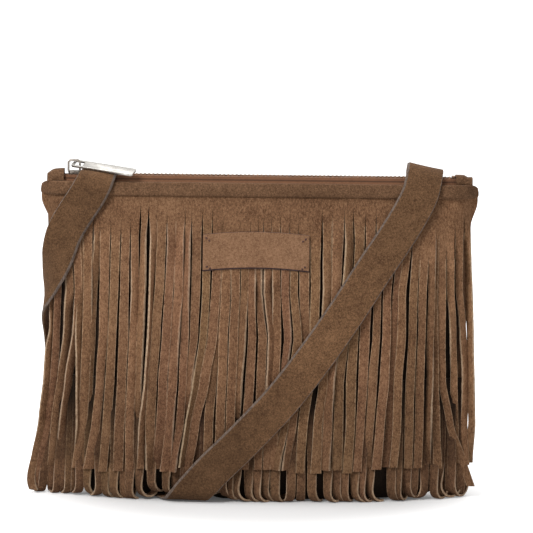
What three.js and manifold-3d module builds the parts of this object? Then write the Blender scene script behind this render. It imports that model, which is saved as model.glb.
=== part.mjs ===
// Fringed suede shoulder bag with a metal zip along its top edge.
// Millimetres. The front faces -Y, +X is to the right as the front is seen, and +Z is up.
// The origin is on the surface that the bag stands on, under the middle of its flat foot.

import * as THREE from 'three';
import { mergeVertices } from 'three/addons/utils/BufferGeometryUtils.js';
import Module from 'manifold-3d';

const wasm = await Module();
wasm.setup();

// Driving dimensions of the pouch
const bagWidth = 255;
const bagHeight = 187.6;
const bellyDepth = 56;
const bellyHeight = 55;
const mouthDepth = 20;
const footDepth = 34;
const heelHeight = 24;
const cornerRadius = 30;
const sideTaper = 6;
const footSeamShift = 6;

// Thicknesses and clearances of the leather and cloth layers
const panelThickness = 1.6;
const liningThickness = 0.8;
const fringeThickness = 1.2;
const bandThickness = 1.4;
const bandClearance = 0.8;
const bandRounding = 0.7;
const patchThickness = 1.5;
const tapeThickness = 0.7;
const layerGap = 0.3;
const tapeGap = 0.6;
const liningFloorGap = 1.2;

// Band along the top edge, fringe and label patch
const bandHeight = 8.2;
const headerHeight = 19.6;
const upperFringeEnd = 20;
const lowerFringeTop = 74;
const stripPitch = 5.4;
const slitWidth = 0.5;
const curlRadius = 4;
const flareReach = 9;
const patchWidth = 63.5;
const patchHeight = 21.7;
const patchCentreX = -1.8;
const patchDrop = 39.1;
const patchBow = 1;

// Zip
const chainRise = 4.8;
const chainStartInset = 16.6;
const chainEndInset = 13;
const toothPitch = 2.5;
const toothWidth = 0.95;
const toothThickness = 2.4;
const toothReach = 0.75;
const beadInner = 1.3;
const beadOuter = 2.6;
const beadThickness = 1.5;
const tapeFlatEdge = 5.8;
const tapeEndInset = 6.5;
const tapeHemDrop = 9.6;
const stopLength = 2.2;
const topStopInner = 1.45;
const topStopOuter = 3;
const bottomStopHalf = 3.6;
const bottomStopThickness = 3.4;
const tabLength = 10;
const tabThickness = 2.6;
const tabOverlap = 3.8;

// Slider and pull
const sliderLength = 8.6;
const sliderWideHalf = 4.2;
const sliderNarrowHalf = 3.7;
const sliderPlate = 1;
const sliderClearance = 0.35;
const bailWidth = 1.5;
const bailBar = 1.2;
const bailOpeningLength = 5.6;
const bailOpeningHeight = 5.5;
const pullLength = 40;
const pullWidth = 7.6;
const pullThickness = 1.3;
const pullEyeLength = 5.6;
const pullEyeWidth = 5;
const pullHeadBar = 1.3;
const pivotHeight = 4.2;
const pullSwing = 21;
const pullPitch = 6;
const pullLean = 24;

// Shoulder strap
const strapWidth = 22;
const strapThickness = 2;
const grooveRise = 3.3;
const grooveFade = 12;

// Worked out from the above
const seamHalfGap = layerGap / 2;
const stripCount = Math.floor((bagWidth + slitWidth) / stripPitch);
const liningInset = panelThickness + tapeGap;
const frontLayer = layerGap + fringeThickness;
const bandTop = bagHeight + layerGap + bandThickness;
const slitTop = bagHeight - headerHeight;
const patchCentreZ = bagHeight - patchDrop;
const chainHeight = bagHeight + chainRise;
const chainStart = chainStartInset - bagWidth / 2;
const chainEnd = bagWidth / 2 - chainEndInset;
const tapeEndX = bagWidth / 2 - tapeEndInset;
const tapeHem = bagHeight - tapeHemDrop;
const sliderX = chainStart - 0.4;
const plateTop = chainHeight + toothThickness / 2 + sliderClearance + sliderPlate;

const radians = THREE.MathUtils.degToRad;
const suede = (color) => new THREE.MeshStandardMaterial({ color, roughness: 0.95, metalness: 0 });
const metal = (color, roughness) => new THREE.MeshStandardMaterial({ color, roughness, metalness: 1 });
const materials = {
  panel: suede(0x4a3222),
  fringe: suede(0x7d5f47),
  band: suede(0x6d523d),
  strap: suede(0x6e523d),
  patch: suede(0x8f6a51),
  lining: suede(0x3b2c22),
  tape: new THREE.MeshStandardMaterial({ color: 0x8f6550, roughness: 0.9, metalness: 0 }),
  teeth: metal(0x4c4540, 0.4),
  nickel: metal(0xb8b7b4, 0.25),
};

const bag = new THREE.Group();

function addPart(name, geometry, material, parent = bag) {
  const mesh = new THREE.Mesh(geometry, material);
  mesh.name = name;
  parent.add(mesh);
  return mesh;
}

// Turns a body inside out when its faces point inwards
function facedOutwards(geometry) {
  const at = geometry.attributes.position;
  const index = geometry.index;
  const [a, b, c] = [new THREE.Vector3(), new THREE.Vector3(), new THREE.Vector3()];
  let volume = 0;
  for (let i = 0; i < index.count; i += 3) {
    a.fromBufferAttribute(at, index.getX(i));
    b.fromBufferAttribute(at, index.getX(i + 1));
    c.fromBufferAttribute(at, index.getX(i + 2));
    volume += a.dot(b.cross(c));
  }
  if (volume < 0) {
    for (let i = 0; i < index.count; i += 3) {
      const first = index.getX(i);
      index.setX(i, index.getX(i + 1));
      index.setX(i + 1, first);
    }
  }
  geometry.computeVertexNormals();
  return geometry;
}

// A closed sheet of leather between an outer and an inner surface, both given as grids of points.
// Cells that isCut marks are slits: they are left open, with a cut edge all round them.
function sheetBody(rows, columns, outerAt, innerAt, isCut = () => false) {
  const points = [];
  for (const surface of [outerAt, innerAt]) {
    for (let i = 0; i <= rows; i++) {
      for (let j = 0; j <= columns; j++) {
        points.push(...surface(i, j));
      }
    }
  }
  const innerStart = (rows + 1) * (columns + 1);
  const id = (i, j) => i * (columns + 1) + j;
  const filled = (i, j) => i >= 0 && j >= 0 && i < rows && j < columns && !isCut(i, j);
  const faces = [];
  const wall = (from, to) => {
    faces.push(from, from + innerStart, to, to, from + innerStart, to + innerStart);
  };
  for (let i = 0; i < rows; i++) {
    for (let j = 0; j < columns; j++) {
      if (!filled(i, j)) continue;
      const [a, b, c, d] = [id(i, j), id(i + 1, j), id(i + 1, j + 1), id(i, j + 1)];
      faces.push(a, b, c, a, c, d);
      faces.push(a + innerStart, c + innerStart, b + innerStart);
      faces.push(a + innerStart, d + innerStart, c + innerStart);
      if (!filled(i, j - 1)) wall(a, b);
      if (!filled(i + 1, j)) wall(b, c);
      if (!filled(i, j + 1)) wall(c, d);
      if (!filled(i - 1, j)) wall(d, a);
    }
  }
  const geometry = new THREE.BufferGeometry();
  geometry.setAttribute('position', new THREE.Float32BufferAttribute(points, 3));
  geometry.setIndex(faces);
  return facedOutwards(mergeVertices(geometry, 1e-4));
}

// Manifold solids for the pieces that are cut and joined
function solid(geometry) {
  const bare = geometry.clone();
  bare.deleteAttribute('normal');
  bare.deleteAttribute('uv');
  const merged = mergeVertices(bare, 1e-4);
  return new wasm.Manifold(new wasm.Mesh({
    numProp: 3,
    vertProperties: new Float32Array(merged.attributes.position.array),
    triVerts: new Uint32Array(merged.index.array),
  }));
}

function fromSolid(body) {
  const mesh = body.getMesh();
  const geometry = new THREE.BufferGeometry();
  geometry.setAttribute('position', new THREE.BufferAttribute(new Float32Array(mesh.vertProperties), 3));
  geometry.setIndex(Array.from(mesh.triVerts));
  geometry.computeVertexNormals();
  return geometry;
}

// An outline in X and Y, drawn up by a height and centred on a level
function plate(outline, height, level = 0) {
  const shape = new THREE.Shape(outline.map(([x, y]) => new THREE.Vector2(x, y)));
  const geometry = new THREE.ExtrudeGeometry(shape, { depth: height, bevelEnabled: false });
  geometry.translate(0, 0, level - height / 2);
  return geometry;
}

// An outline in X and Z, given a width in Y
function slab(outline, width) {
  const shape = new THREE.Shape(outline.map(([x, z]) => new THREE.Vector2(x, z)));
  const geometry = new THREE.ExtrudeGeometry(shape, { depth: width, bevelEnabled: false });
  geometry.rotateX(Math.PI / 2);
  geometry.translate(0, width / 2, 0);
  return geometry;
}

// The pouch's outline: half its width and half its depth at a height
function halfWidth(z) {
  const corner = Math.max(0, 1 - z / cornerRadius);
  const round = cornerRadius * (1 - Math.sqrt(1 - corner * corner));
  return bagWidth / 2 - sideTaper * (1 - Math.min(1, z / bagHeight)) - round;
}

function climbFromBelly(z) {
  return Math.min(1, Math.max(0, (z - bellyHeight) / (bagHeight - bellyHeight)));
}

function halfDepth(z) {
  if (z < heelHeight) {
    const rise = 1 - z / heelHeight;
    return (footDepth + (bellyDepth - footDepth) * Math.sqrt(1 - rise * rise)) / 2;
  }
  const swell = Math.cos(climbFromBelly(z) * Math.PI / 2);
  return (mouthDepth + (bellyDepth - mouthDepth) * swell) / 2;
}

// A pinched lens at the belly, and nearly straight sided along the zip
function fullness(u, z) {
  const power = 3 + 18 * climbFromBelly(z) ** 2;
  return Math.max(0, 1 - Math.abs(u) ** power);
}

// How far a layer stands off the seam plane: inset is its distance inside the pouch's outer face
function depthAt(x, z, inset) {
  return (halfDepth(z) - inset) * fullness(x / (halfWidth(z) - inset), z);
}

// The bottom is lifted where the strap passes beneath it
function strapLift(x, y) {
  const strapCentre = -57 - 0.48 * y;
  const aside = Math.abs(x - strapCentre) * 0.9 - strapWidth / 2 - 3;
  const t = Math.min(1, Math.max(0, aside / grooveFade));
  return grooveRise * (1 - t * t * (3 - 2 * t));
}

// Stations along the width, closer together towards the side seams
function acrossAt(i, count) {
  return Math.sin((i / count - 0.5) * Math.PI);
}

// One wall of the pouch, from the seam under the foot up to a rim, at an inset from the outer face
function panelSurface(side, inset, rim, across, footRows, wallRows, floorGap) {
  return (i, j) => {
    const u = acrossAt(i, across);
    const onFoot = j < footRows;
    const reach = onFoot ? j / footRows : 1;
    const t = onFoot ? 0 : (j - footRows) / wallRows;
    const level = rim * t ** 1.35;
    const x = u * (halfWidth(level) - inset);
    const depth = (halfDepth(level) - inset) * fullness(u, level) * reach;
    const shift = footSeamShift * fullness(u, 0) * (1 - reach);
    const y = side * (seamHalfGap + depth) + shift;
    const floor = inset + floorGap + strapLift(x, y) * Math.max(0, 1 - level / heelHeight);
    return [x, y, floor + level * (1 - floor / rim)];
  };
}

function panel(side, inset, thickness, rim, floorGap = 0, across = 20, wallRows = 12) {
  const footRows = 2;
  return sheetBody(
    across,
    footRows + wallRows,
    panelSurface(side, inset, rim, across, footRows, wallRows, floorGap),
    panelSurface(side, inset + thickness, rim, across, footRows, wallRows, floorGap),
  );
}

function lining(side) {
  return panel(side, liningInset, liningThickness, tapeHem - tapeGap, liningFloorGap, 14, 8);
}

// A binding that runs along the mouth. Its section is a list of [inset, height].
function alongMouth(side, reach, outerSection, innerSection) {
  const across = 20;
  const surface = (section) => (i, j) => {
    const [inset, z] = section[j];
    const x = acrossAt(i, across) * (reach - inset);
    return [x, side * (seamHalfGap + depthAt(x, z, inset)), z];
  };
  return sheetBody(across, outerSection.length - 1, surface(outerSection), surface(innerSection));
}

function topBand(side, standOff) {
  const outer = -standOff - bandThickness;
  const inner = -standOff;
  const fold = panelThickness - layerGap / 2;
  const lower = bandTop - bandHeight;
  const roof = bandTop - bandThickness;
  return alongMouth(
    side,
    halfWidth(bagHeight),
    [[outer, lower], [outer, bandTop - bandRounding], [outer + bandRounding, bandTop], [fold, bandTop]],
    [[inner, lower], [inner, roof], [inner + bandRounding / 7, roof], [fold, roof]],
  );
}

// The zip tape stands inside the panel, leans in over its rim and lies flat beside the chain
function zipTape(side) {
  const stations = 16;
  const inset = panelThickness + tapeGap;
  const flatEdge = (x) => Math.min(tapeFlatEdge, depthAt(x, bagHeight, inset + tapeThickness) - 0.4);
  const surface = (face) => (i, j) => {
    const x = THREE.MathUtils.lerp(-tapeEndX, tapeEndX, i / stations);
    const wall = inset + (face > 0 ? 0 : tapeThickness);
    const half = face * tapeThickness / 2;
    const lean = face * 0.2;
    const y = [
      depthAt(x, tapeHem, wall),
      depthAt(x, bagHeight, wall),
      flatEdge(x) + lean,
      beadOuter + layerGap,
    ][j];
    const z = [tapeHem, bagHeight + face * 0.2, chainHeight + half, chainHeight + half][j];
    return [x, side * (seamHalfGap * (j < 2 ? 1 : 0) + y), z];
  };
  return sheetBody(stations, 3, surface(1), surface(-1));
}

// A row of teeth clamped on the tape's corded edge. The two rows are half a pitch apart.
function zipTeeth(side) {
  const start = chainStart + (side > 0 ? toothPitch / 2 : 0);
  const cordOuter = beadOuter - 0.1;
  const cord = [[chainStart, beadInner], [chainEnd, beadInner], [chainEnd, cordOuter],
    [chainStart, cordOuter]];
  const [tip, root] = [toothWidth / 2, toothWidth * 0.7];
  const tooth = [[-tip, -toothReach], [tip, -toothReach], [root, beadOuter], [-root, beadOuter]];
  const outward = (outline, shift) => outline.map(([x, y]) => [x + shift, side * y]);
  const count = Math.floor((chainEnd - start - 2 * root) / toothPitch);
  let row = solid(plate(outward(cord, 0), beadThickness, chainHeight));
  for (let i = 0; i <= count; i++) {
    const x = start + root + i * toothPitch;
    row = row.add(solid(plate(outward(tooth, x), toothThickness, chainHeight)));
  }
  return fromSolid(row);
}

// A slot in a stop, open outwards, for the tape's edge
function tapeSlot(left, right, side, clearance) {
  const far = bottomStopHalf + 2;
  const [a, b] = [left - 1, right + 1];
  const slot = [[a, side * beadOuter], [b, side * beadOuter], [b, side * far], [a, side * far]];
  return solid(plate(slot, tapeThickness + 2 * clearance, chainHeight));
}

function topStop(side) {
  const right = chainStart - layerGap;
  const left = right - stopLength;
  const [near, far] = [side * topStopInner, side * topStopOuter];
  const outline = [[left, near], [right, near], [right, far], [left, far]];
  const block = solid(plate(outline, toothThickness, chainHeight));
  return fromSolid(block.subtract(tapeSlot(left, right, side, sliderClearance)));
}

function bottomStop() {
  const left = chainEnd + layerGap;
  const right = left + stopLength;
  const half = bottomStopHalf;
  const outline = [[left, -half], [right, -half], [right, half], [left, half]];
  const clamp = solid(plate(outline, bottomStopThickness, chainHeight));
  const openInFront = clamp.subtract(tapeSlot(left, right, -1, layerGap));
  return fromSolid(openInFront.subtract(tapeSlot(left, right, 1, layerGap)));
}

// A doubled piece of suede folded over each end of the zip
function zipEndTab(direction) {
  const stations = 3;
  const inner = direction * (tapeEndX - tabOverlap);
  const columns = 8;
  const surface = (lift) => (i, j) => {
    const x = inner + direction * tabLength * i / stations;
    const across = j / columns * 2 - 1;
    const station = direction * Math.min(direction * x, tapeEndX);
    const mouth = depthAt(station, bagHeight, panelThickness) + 1.8;
    const half = Math.max(mouth, beadOuter + 1) + lift * 0.25;
    const shoulder = 1 - Math.abs(across) ** 8;
    const low = bandTop + layerGap;
    const high = chainHeight + tapeThickness / 2 + tapeGap + lift;
    const droop = lift * 0.5 * (i / stations) ** 3;
    return [x, half * across, low + (high - low) * shoulder - droop * shoulder];
  };
  return sheetBody(stations, columns, surface(tabThickness), surface(0));
}

// Slider body round its own centre, wide and two-throated at -X, where it parts the rows
function sliderBody() {
  const half = sliderLength / 2;
  const channel = toothThickness / 2 + sliderClearance;
  const height = 2 * (channel + sliderPlate);
  const chainHalf = beadOuter + sliderClearance;
  const throatHalf = sliderWideHalf - (sliderNarrowHalf - chainHalf);
  const mirrored = (right) => [...right, ...right.map(([x, y]) => [x, -y]).reverse()];
  const outline = mirrored([[-half + 0.8, sliderWideHalf - 0.9], [-half + 2, sliderWideHalf],
    [0.6, sliderWideHalf - 0.4], [half - 0.8, sliderNarrowHalf], [half, sliderNarrowHalf - 0.8]]);
  const passage = mirrored([[-half - 1, throatHalf], [-1.5, throatHalf], [1.2, chainHalf],
    [half + 1, chainHalf]]);
  const wedge = mirrored([[-half + 1.1, 0.5], [-half + 2.4, 1], [-1, 0.2]]);
  const slit = [[-half - 1, -6], [half + 1, -6], [half + 1, 6], [-half - 1, 6]];
  return solid(plate(outline, height))
    .subtract(solid(plate(passage, 2 * channel)))
    .subtract(solid(plate(slit, tapeThickness + 2 * sliderClearance)))
    .add(solid(plate(wedge, height - 0.4)))
    .add(bailArch(channel + sliderPlate));
}

// The arch that holds the pull, standing on the slider's upper plate
function bailArch(base) {
  const outer = bailOpeningLength / 2 + bailBar;
  const inner = bailOpeningLength / 2;
  const roof = base + bailOpeningHeight;
  const sunk = base - 0.3;
  const arch = [[-outer, sunk], [-inner, sunk], [-inner, roof - 0.9], [-inner + 0.9, roof],
    [inner - 0.9, roof], [inner, roof - 0.9], [inner, sunk], [outer, sunk], [outer, roof - 0.3],
    [outer - 1.5, roof + bailBar], [-outer + 1.5, roof + bailBar], [-outer, roof - 0.3]];
  return solid(slab(arch, bailWidth));
}

// Flat bar with a square eye, lying along +X from the centre of the eye's end bar
function pullTab() {
  const end = pullLength - pullHeadBar / 2;
  const half = pullWidth / 2;
  const eye = pullEyeWidth / 2;
  const start = pullHeadBar / 2;
  const bevel = 0.9;
  const outline = [[-start, -half + bevel], [-start + bevel, -half], [end - bevel, -half],
    [end, -half + bevel], [end, half - bevel], [end - bevel, half], [-start + bevel, half],
    [-start, half - bevel]];
  const opening = [[start, -eye], [start + pullEyeLength, -eye], [start + pullEyeLength, eye], [start, eye]];
  return fromSolid(solid(plate(outline, pullThickness)).subtract(solid(plate(opening, pullThickness + 2))));
}

// Height of a hanging strip's face in front of the seam plane: it lies on the belly, then drops straight
function curtain(x, z, standOff) {
  return -(seamHalfGap + standOff + Math.max(0, depthAt(x, Math.max(z, bellyHeight), 0)));
}

// The leftmost strips swing out near the floor
function flare(x, z) {
  const outermost = Math.max(0, 1 - (x + bagWidth / 2) / 24);
  const low = Math.max(0, 1 - z / 85);
  return -flareReach * outermost * Math.sin(Math.min(1, low * 1.25) * Math.PI * 0.8);
}

// A curtain of strips cut into one sheet, hanging from its uncut header.
// lines gives [height, stand-off, curl angle] from the top down.
function fringe(lines, slitRow, endOf) {
  const columns = 2 * stripCount - 1;
  const edgeX = (i) => {
    const strip = Math.floor(i / 2);
    const left = -stripCount * stripPitch / 2 + strip * stripPitch + slitWidth / 2;
    return left + (i % 2) * (stripPitch - slitWidth);
  };
  const surface = (outwards) => (i, j) => {
    const strip = Math.floor(i / 2);
    const [height, standOff, curl] = lines[j];
    const z = j === lines.length - 1 ? height + endOf(strip) : height;
    const x = edgeX(i);
    const inner = curtain(x, z, standOff);
    const face = outwards ? fringeThickness : 0;
    const y = inner + curlRadius * (1 - Math.cos(curl)) - face * Math.cos(curl);
    const lift = strapLift(x, inner) * Math.max(0, 1 - z / heelHeight);
    return [x + flare(x, z), y, z - face * Math.sin(curl) + lift];
  };
  const isCut = (i, j) => i % 2 === 1 && j >= slitRow;
  return sheetBody(columns, lines.length - 1, surface(true), surface(false), isCut);
}

function upperFringe() {
  const overLower = layerGap + frontLayer;
  const down = (step) => slitTop - (slitTop - lowerFringeTop) * step / 94;
  const lines = [[bagHeight - 0.4, 0.5, 0], [bandTop - bandHeight - 2, 0.5, 0], [slitTop, 0.6, 0],
    [down(28), 0.8, 0], [down(56), 0.8, 0], [down(80), 1, 0], [lowerFringeTop, overLower, 0],
    [48, overLower, 0], [upperFringeEnd, overLower, 0]];
  return fringe(lines, 2, (strip) => 1.5 * Math.sin(strip * 2.3));
}

// The lower tier is sewn on beneath the upper one and curls back under the bag at the floor
function lowerFringe() {
  const lines = [lowerFringeTop - 2.5, lowerFringeTop - 9, 40, 16].map((height) => [height, layerGap, 0]);
  const bends = 3;
  for (let i = 0; i <= bends; i++) {
    const curl = i / bends * Math.PI / 2;
    lines.push([fringeThickness + curlRadius * (1 - Math.sin(curl)), layerGap, curl]);
  }
  return fringe(lines, 1, () => 0);
}

function labelPatch() {
  const [rows, columns] = [12, 4];
  const surface = (lift) => (i, j) => {
    const u = i / rows * 2 - 1;
    const x = patchCentreX + u * patchWidth / 2;
    const z = patchCentreZ + (j / columns - 0.5) * patchHeight + patchBow * (1 - u * u);
    return [x, curtain(x, z, bandClearance + layerGap + frontLayer) - lift, z];
  };
  return sheetBody(rows, columns, surface(patchThickness), surface(0));
}

// The strap's middle line and the way its outer face looks, from one sewn end to the other.
// A last number says how far the strap is turned about a crease that lies along X.
const strapRoute = [
  // Sewn on the back at the left, and up over the mouth
  [-96, 17.9, 156, 0, 1, 0.1], [-96, 16.2, 167, 0, 1, 0.15], [-96, 14.6, 180, 0, 1, 0.1],
  [-96, 13.9, 188.4, 0, 0.95, 0.3], [-95.8, 10.8, 192.8, 0, 0.6, 0.8], [-95.6, 4.8, 194.8, 0, 0.25, 0.97],
  [-95.6, 0, 195.2, 0, 0, 1],
  // Down the front and round the left side
  [-96, -6, 194.6, 0, -0.3, 0.95], [-97.2, -12.8, 192.4, 0, -0.65, 0.75], [-99, -15.9, 188.2, 0, -0.96, 0.3],
  [-103.5, -16.8, 180, 0, -0.99, 0.1], [-109, -17.6, 171.5, -0.05, -1, 0.1],
  [-117, -17.4, 159.5, -0.15, -0.98, 0.1], [-125.5, -13.2, 145, -0.45, -0.9, 0],
  [-131.5, -4.5, 130, -0.85, -0.5, 0], [-133, 3.5, 115, -1, 0.1, 0],
  [-130, 11.5, 98, -0.75, 0.65, 0], [-123, 19, 80, -0.4, 0.9, 0], [-114, 26, 60, -0.1, 0.99, 0.05],
  [-107.5, 31, 38, 0, 0.98, 0.15], [-105, 36, 17, 0, 0.85, 0.5],
  // On the floor behind, on its edge in one long loop
  [-104.5, 44, 5, -0.1, 0.45, 0.9], [-104.5, 55, 6.8, -0.45, 0.1, 0.88], [-103.5, 66, 10.8, -0.88, 0.1, 0.45],
  [-98, 77, 11.4, -0.85, 0.52, 0], [-84, 84, 11.4, -0.25, 0.97, 0], [-55, 85.5, 11.4, 0, 1, 0],
  [-20, 85, 11.4, 0, 1, 0], [15, 86, 11.4, 0, 1, 0], [50, 85, 11.4, 0.08, 1, 0],
  [69, 80, 11.4, 0.6, 0.8, 0], [76, 68, 11.4, 1, 0, 0],
  [69, 56, 11.4, 0.6, -0.8, 0], [50, 51.5, 11.4, 0.08, -1, 0], [20, 52.5, 11.4, -0.03, -1, 0],
  [-12, 53.5, 11.4, 0, -1, 0], [-42, 52.5, 11.4, 0.08, -1, 0], [-60, 48, 11.2, 0.5, -0.8, -0.3],
  // Beneath the bag and up across the front
  [-69, 38, 8, 0.5, -0.2, -0.8], [-70, 27, 3.2, 0.1, 0, -1], [-67, 19.5, 1.6, 0.02, 0, -1],
  [-60.5, 6, 1.4, 0, 0, -1],
  [-54, -7, 1.4, 0, 0, -1], [-47.5, -20, 1.4, 0, 0, -1], [-43.5, -28, 1.7, 0, -0.25, -0.97, 0.8],
  [-40, -34, 4.2, 0, -0.78, -0.62, 1], [-35.5, -36.4, 9.5, 0, -1, 0, 0.8], [-27, -36, 19, 0, -1, 0, 0.3],
  [-8, -35.6, 38, 0, -1, 0], [14, -35.4, 62, 0, -1, 0.05],
  [34, -33.4, 88, 0, -1, 0.15], [52, -29.8, 114, 0, -0.98, 0.2], [68, -25.6, 139, 0, -0.97, 0.25],
  [82, -21.4, 160, 0, -0.97, 0.25], [91, -18.2, 175, 0, -0.98, 0.2], [95.5, -16.8, 184.6, 0.06, -0.98, 0.15],
  // Over the mouth in an open arch, and sewn on the back at the right
  [97, -15.6, 190.4, 0.12, -0.92, 0.38], [98.2, -11.8, 195.8, 0.2, -0.7, 0.65],
  [98.8, -5, 198.6, 0.22, -0.3, 0.93], [99, 4, 198.4, 0.2, 0.25, 0.95],
  [98.8, 11.6, 193.8, 0.1, 0.75, 0.65], [98.5, 14.4, 185, 0, 1, 0.1], [98.3, 16, 168, 0, 1, 0.15],
  [98, 17.9, 156, 0, 1, 0.1],
];

function shoulderStrap() {
  const stations = 150;
  const line = new THREE.CatmullRomCurve3(strapRoute.map(([x, y, z]) => new THREE.Vector3(x, y, z)));
  const facing = new THREE.CatmullRomCurve3(strapRoute.map((p) => new THREE.Vector3(p[3], p[4], p[5])));
  const folding = new THREE.CatmullRomCurve3(strapRoute.map((p) => new THREE.Vector3(p[6] ?? 0, 0, 0)));
  const frames = [];
  for (let i = 0; i <= stations; i++) {
    const t = line.getUtoTmapping(i / stations);
    const along = line.getTangent(t);
    const square = along.clone().cross(facing.getPoint(t)).normalize();
    const out = square.clone().cross(along).normalize();
    const across = square.clone().lerp(new THREE.Vector3(1, 0, 0).projectOnPlane(out), folding.getPoint(t).x);
    across.divideScalar(across.clone().cross(along).length());
    frames.push({ centre: line.getPoint(t), across, out });
  }
  const surface = (face) => (i, j) => {
    const { centre, across, out } = frames[i];
    return centre.clone()
      .addScaledVector(across, (j - 0.5) * strapWidth)
      .addScaledVector(out, face * strapThickness / 2)
      .toArray();
  };
  return sheetBody(stations, 1, surface(1), surface(-1));
}

// Pouch
addPart('front_panel', panel(-1, 0, panelThickness, bagHeight), materials.panel);
addPart('back_panel', panel(1, 0, panelThickness, bagHeight), materials.band);
addPart('front_lining', lining(-1), materials.lining);
addPart('back_lining', lining(1), materials.lining);
addPart('front_top_band', topBand(-1, bandClearance + fringeThickness), materials.band);
addPart('back_top_band', topBand(1, layerGap), materials.band);

// Fringe, label and strap
addPart('upper_fringe', upperFringe(), materials.fringe);
addPart('lower_fringe', lowerFringe(), materials.fringe);
addPart('label_patch', labelPatch(), materials.patch);
addPart('shoulder_strap', shoulderStrap(), materials.strap);

// Zip
addPart('zip_tape_front', zipTape(-1), materials.tape);
addPart('zip_tape_back', zipTape(1), materials.tape);
addPart('zip_teeth_front', zipTeeth(-1), materials.teeth);
addPart('zip_teeth_back', zipTeeth(1), materials.teeth);
addPart('zip_top_stop_front', topStop(-1), materials.teeth);
addPart('zip_top_stop_back', topStop(1), materials.teeth);
addPart('zip_bottom_stop', bottomStop(), materials.teeth);
addPart('zip_tab_left', zipEndTab(-1), materials.band);
addPart('zip_tab_right', zipEndTab(1), materials.band);

// The slider, and the pull that hangs from its arch and leans forward over the strap
const slider = new THREE.Group();
slider.position.set(sliderX, 0, chainHeight);
bag.add(slider);
addPart('zip_slider', fromSolid(sliderBody()), materials.teeth, slider);

const pull = new THREE.Group();
pull.position.set(sliderX, 0, plateTop + pivotHeight);
pull.rotation.set(radians(pullLean), radians(pullPitch), -radians(pullSwing), 'ZYX');
bag.add(pull);
addPart('zip_pull', pullTab(), materials.nickel, pull);

export default bag;
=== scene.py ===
# Fringed suede shoulder bag: the finished look. Metres, in the model's own frame.
# The front faces -Y, +X is to the right as the front is seen, and +Z is up.

import math
import random

import bmesh
import bpy
from mathutils import Matrix, Vector, noise


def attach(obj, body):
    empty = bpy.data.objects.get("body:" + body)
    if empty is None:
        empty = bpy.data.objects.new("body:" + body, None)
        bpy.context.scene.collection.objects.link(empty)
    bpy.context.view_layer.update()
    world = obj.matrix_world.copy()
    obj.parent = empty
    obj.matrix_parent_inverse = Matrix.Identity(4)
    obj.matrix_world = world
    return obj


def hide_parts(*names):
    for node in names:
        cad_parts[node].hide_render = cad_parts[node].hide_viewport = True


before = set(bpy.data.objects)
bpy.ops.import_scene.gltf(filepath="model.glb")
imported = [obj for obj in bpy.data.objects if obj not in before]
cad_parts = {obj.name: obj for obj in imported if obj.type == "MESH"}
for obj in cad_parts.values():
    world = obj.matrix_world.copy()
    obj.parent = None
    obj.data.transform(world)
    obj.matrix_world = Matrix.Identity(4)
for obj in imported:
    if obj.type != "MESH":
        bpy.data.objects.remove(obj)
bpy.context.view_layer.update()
scene = bpy.context.scene
MM = 0.001


def add_object(name, data):
    obj = bpy.data.objects.new(name, data)
    scene.collection.objects.link(obj)
    return obj


# ---------------------------------------------------------------- camera

def look_from_the_front():
    """A long lens six degrees above the bag's front, with the slight roll of the photograph."""
    camera = add_object("camera", bpy.data.cameras.new("camera"))
    camera.data.sensor_width = 36
    camera.data.lens = 270
    camera.data.clip_start, camera.data.clip_end = 0.05, 60
    target, distance = Vector((0.0045, 0, 0.1383)), 2.4
    tilt, roll = math.radians(6), math.radians(0.65)
    away = Vector((0, -math.cos(tilt), math.sin(tilt)))
    turn = (-away).to_track_quat("-Z", "Y").to_matrix() @ Matrix.Rotation(roll, 3, "Z")
    camera.matrix_world = Matrix.Translation(target + away * distance) @ turn.to_4x4()
    scene.camera = camera


look_from_the_front()


# ---------------------------------------------------------------- finishes

def colour(screen):
    """A colour as it is seen on a screen, from 0 to 255, turned into the shader's own scale."""
    def linear(c):
        c /= 255
        return c / 12.92 if c <= 0.04045 else ((c + 0.055) / 1.055) ** 2.4
    return tuple(linear(c) for c in screen) + (1,)


def add_node(tree, kind, inputs, **settings):
    """A shader node whose inputs are linked, or set where a plain value is given."""
    node = tree.nodes.new("ShaderNode" + kind)
    for name, value in settings.items():
        setattr(node, name, value)
    for socket, value in inputs.items():
        if isinstance(value, bpy.types.NodeSocket):
            tree.links.new(value, node.inputs[socket])
        else:
            node.inputs[socket].default_value = value
    return node


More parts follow.
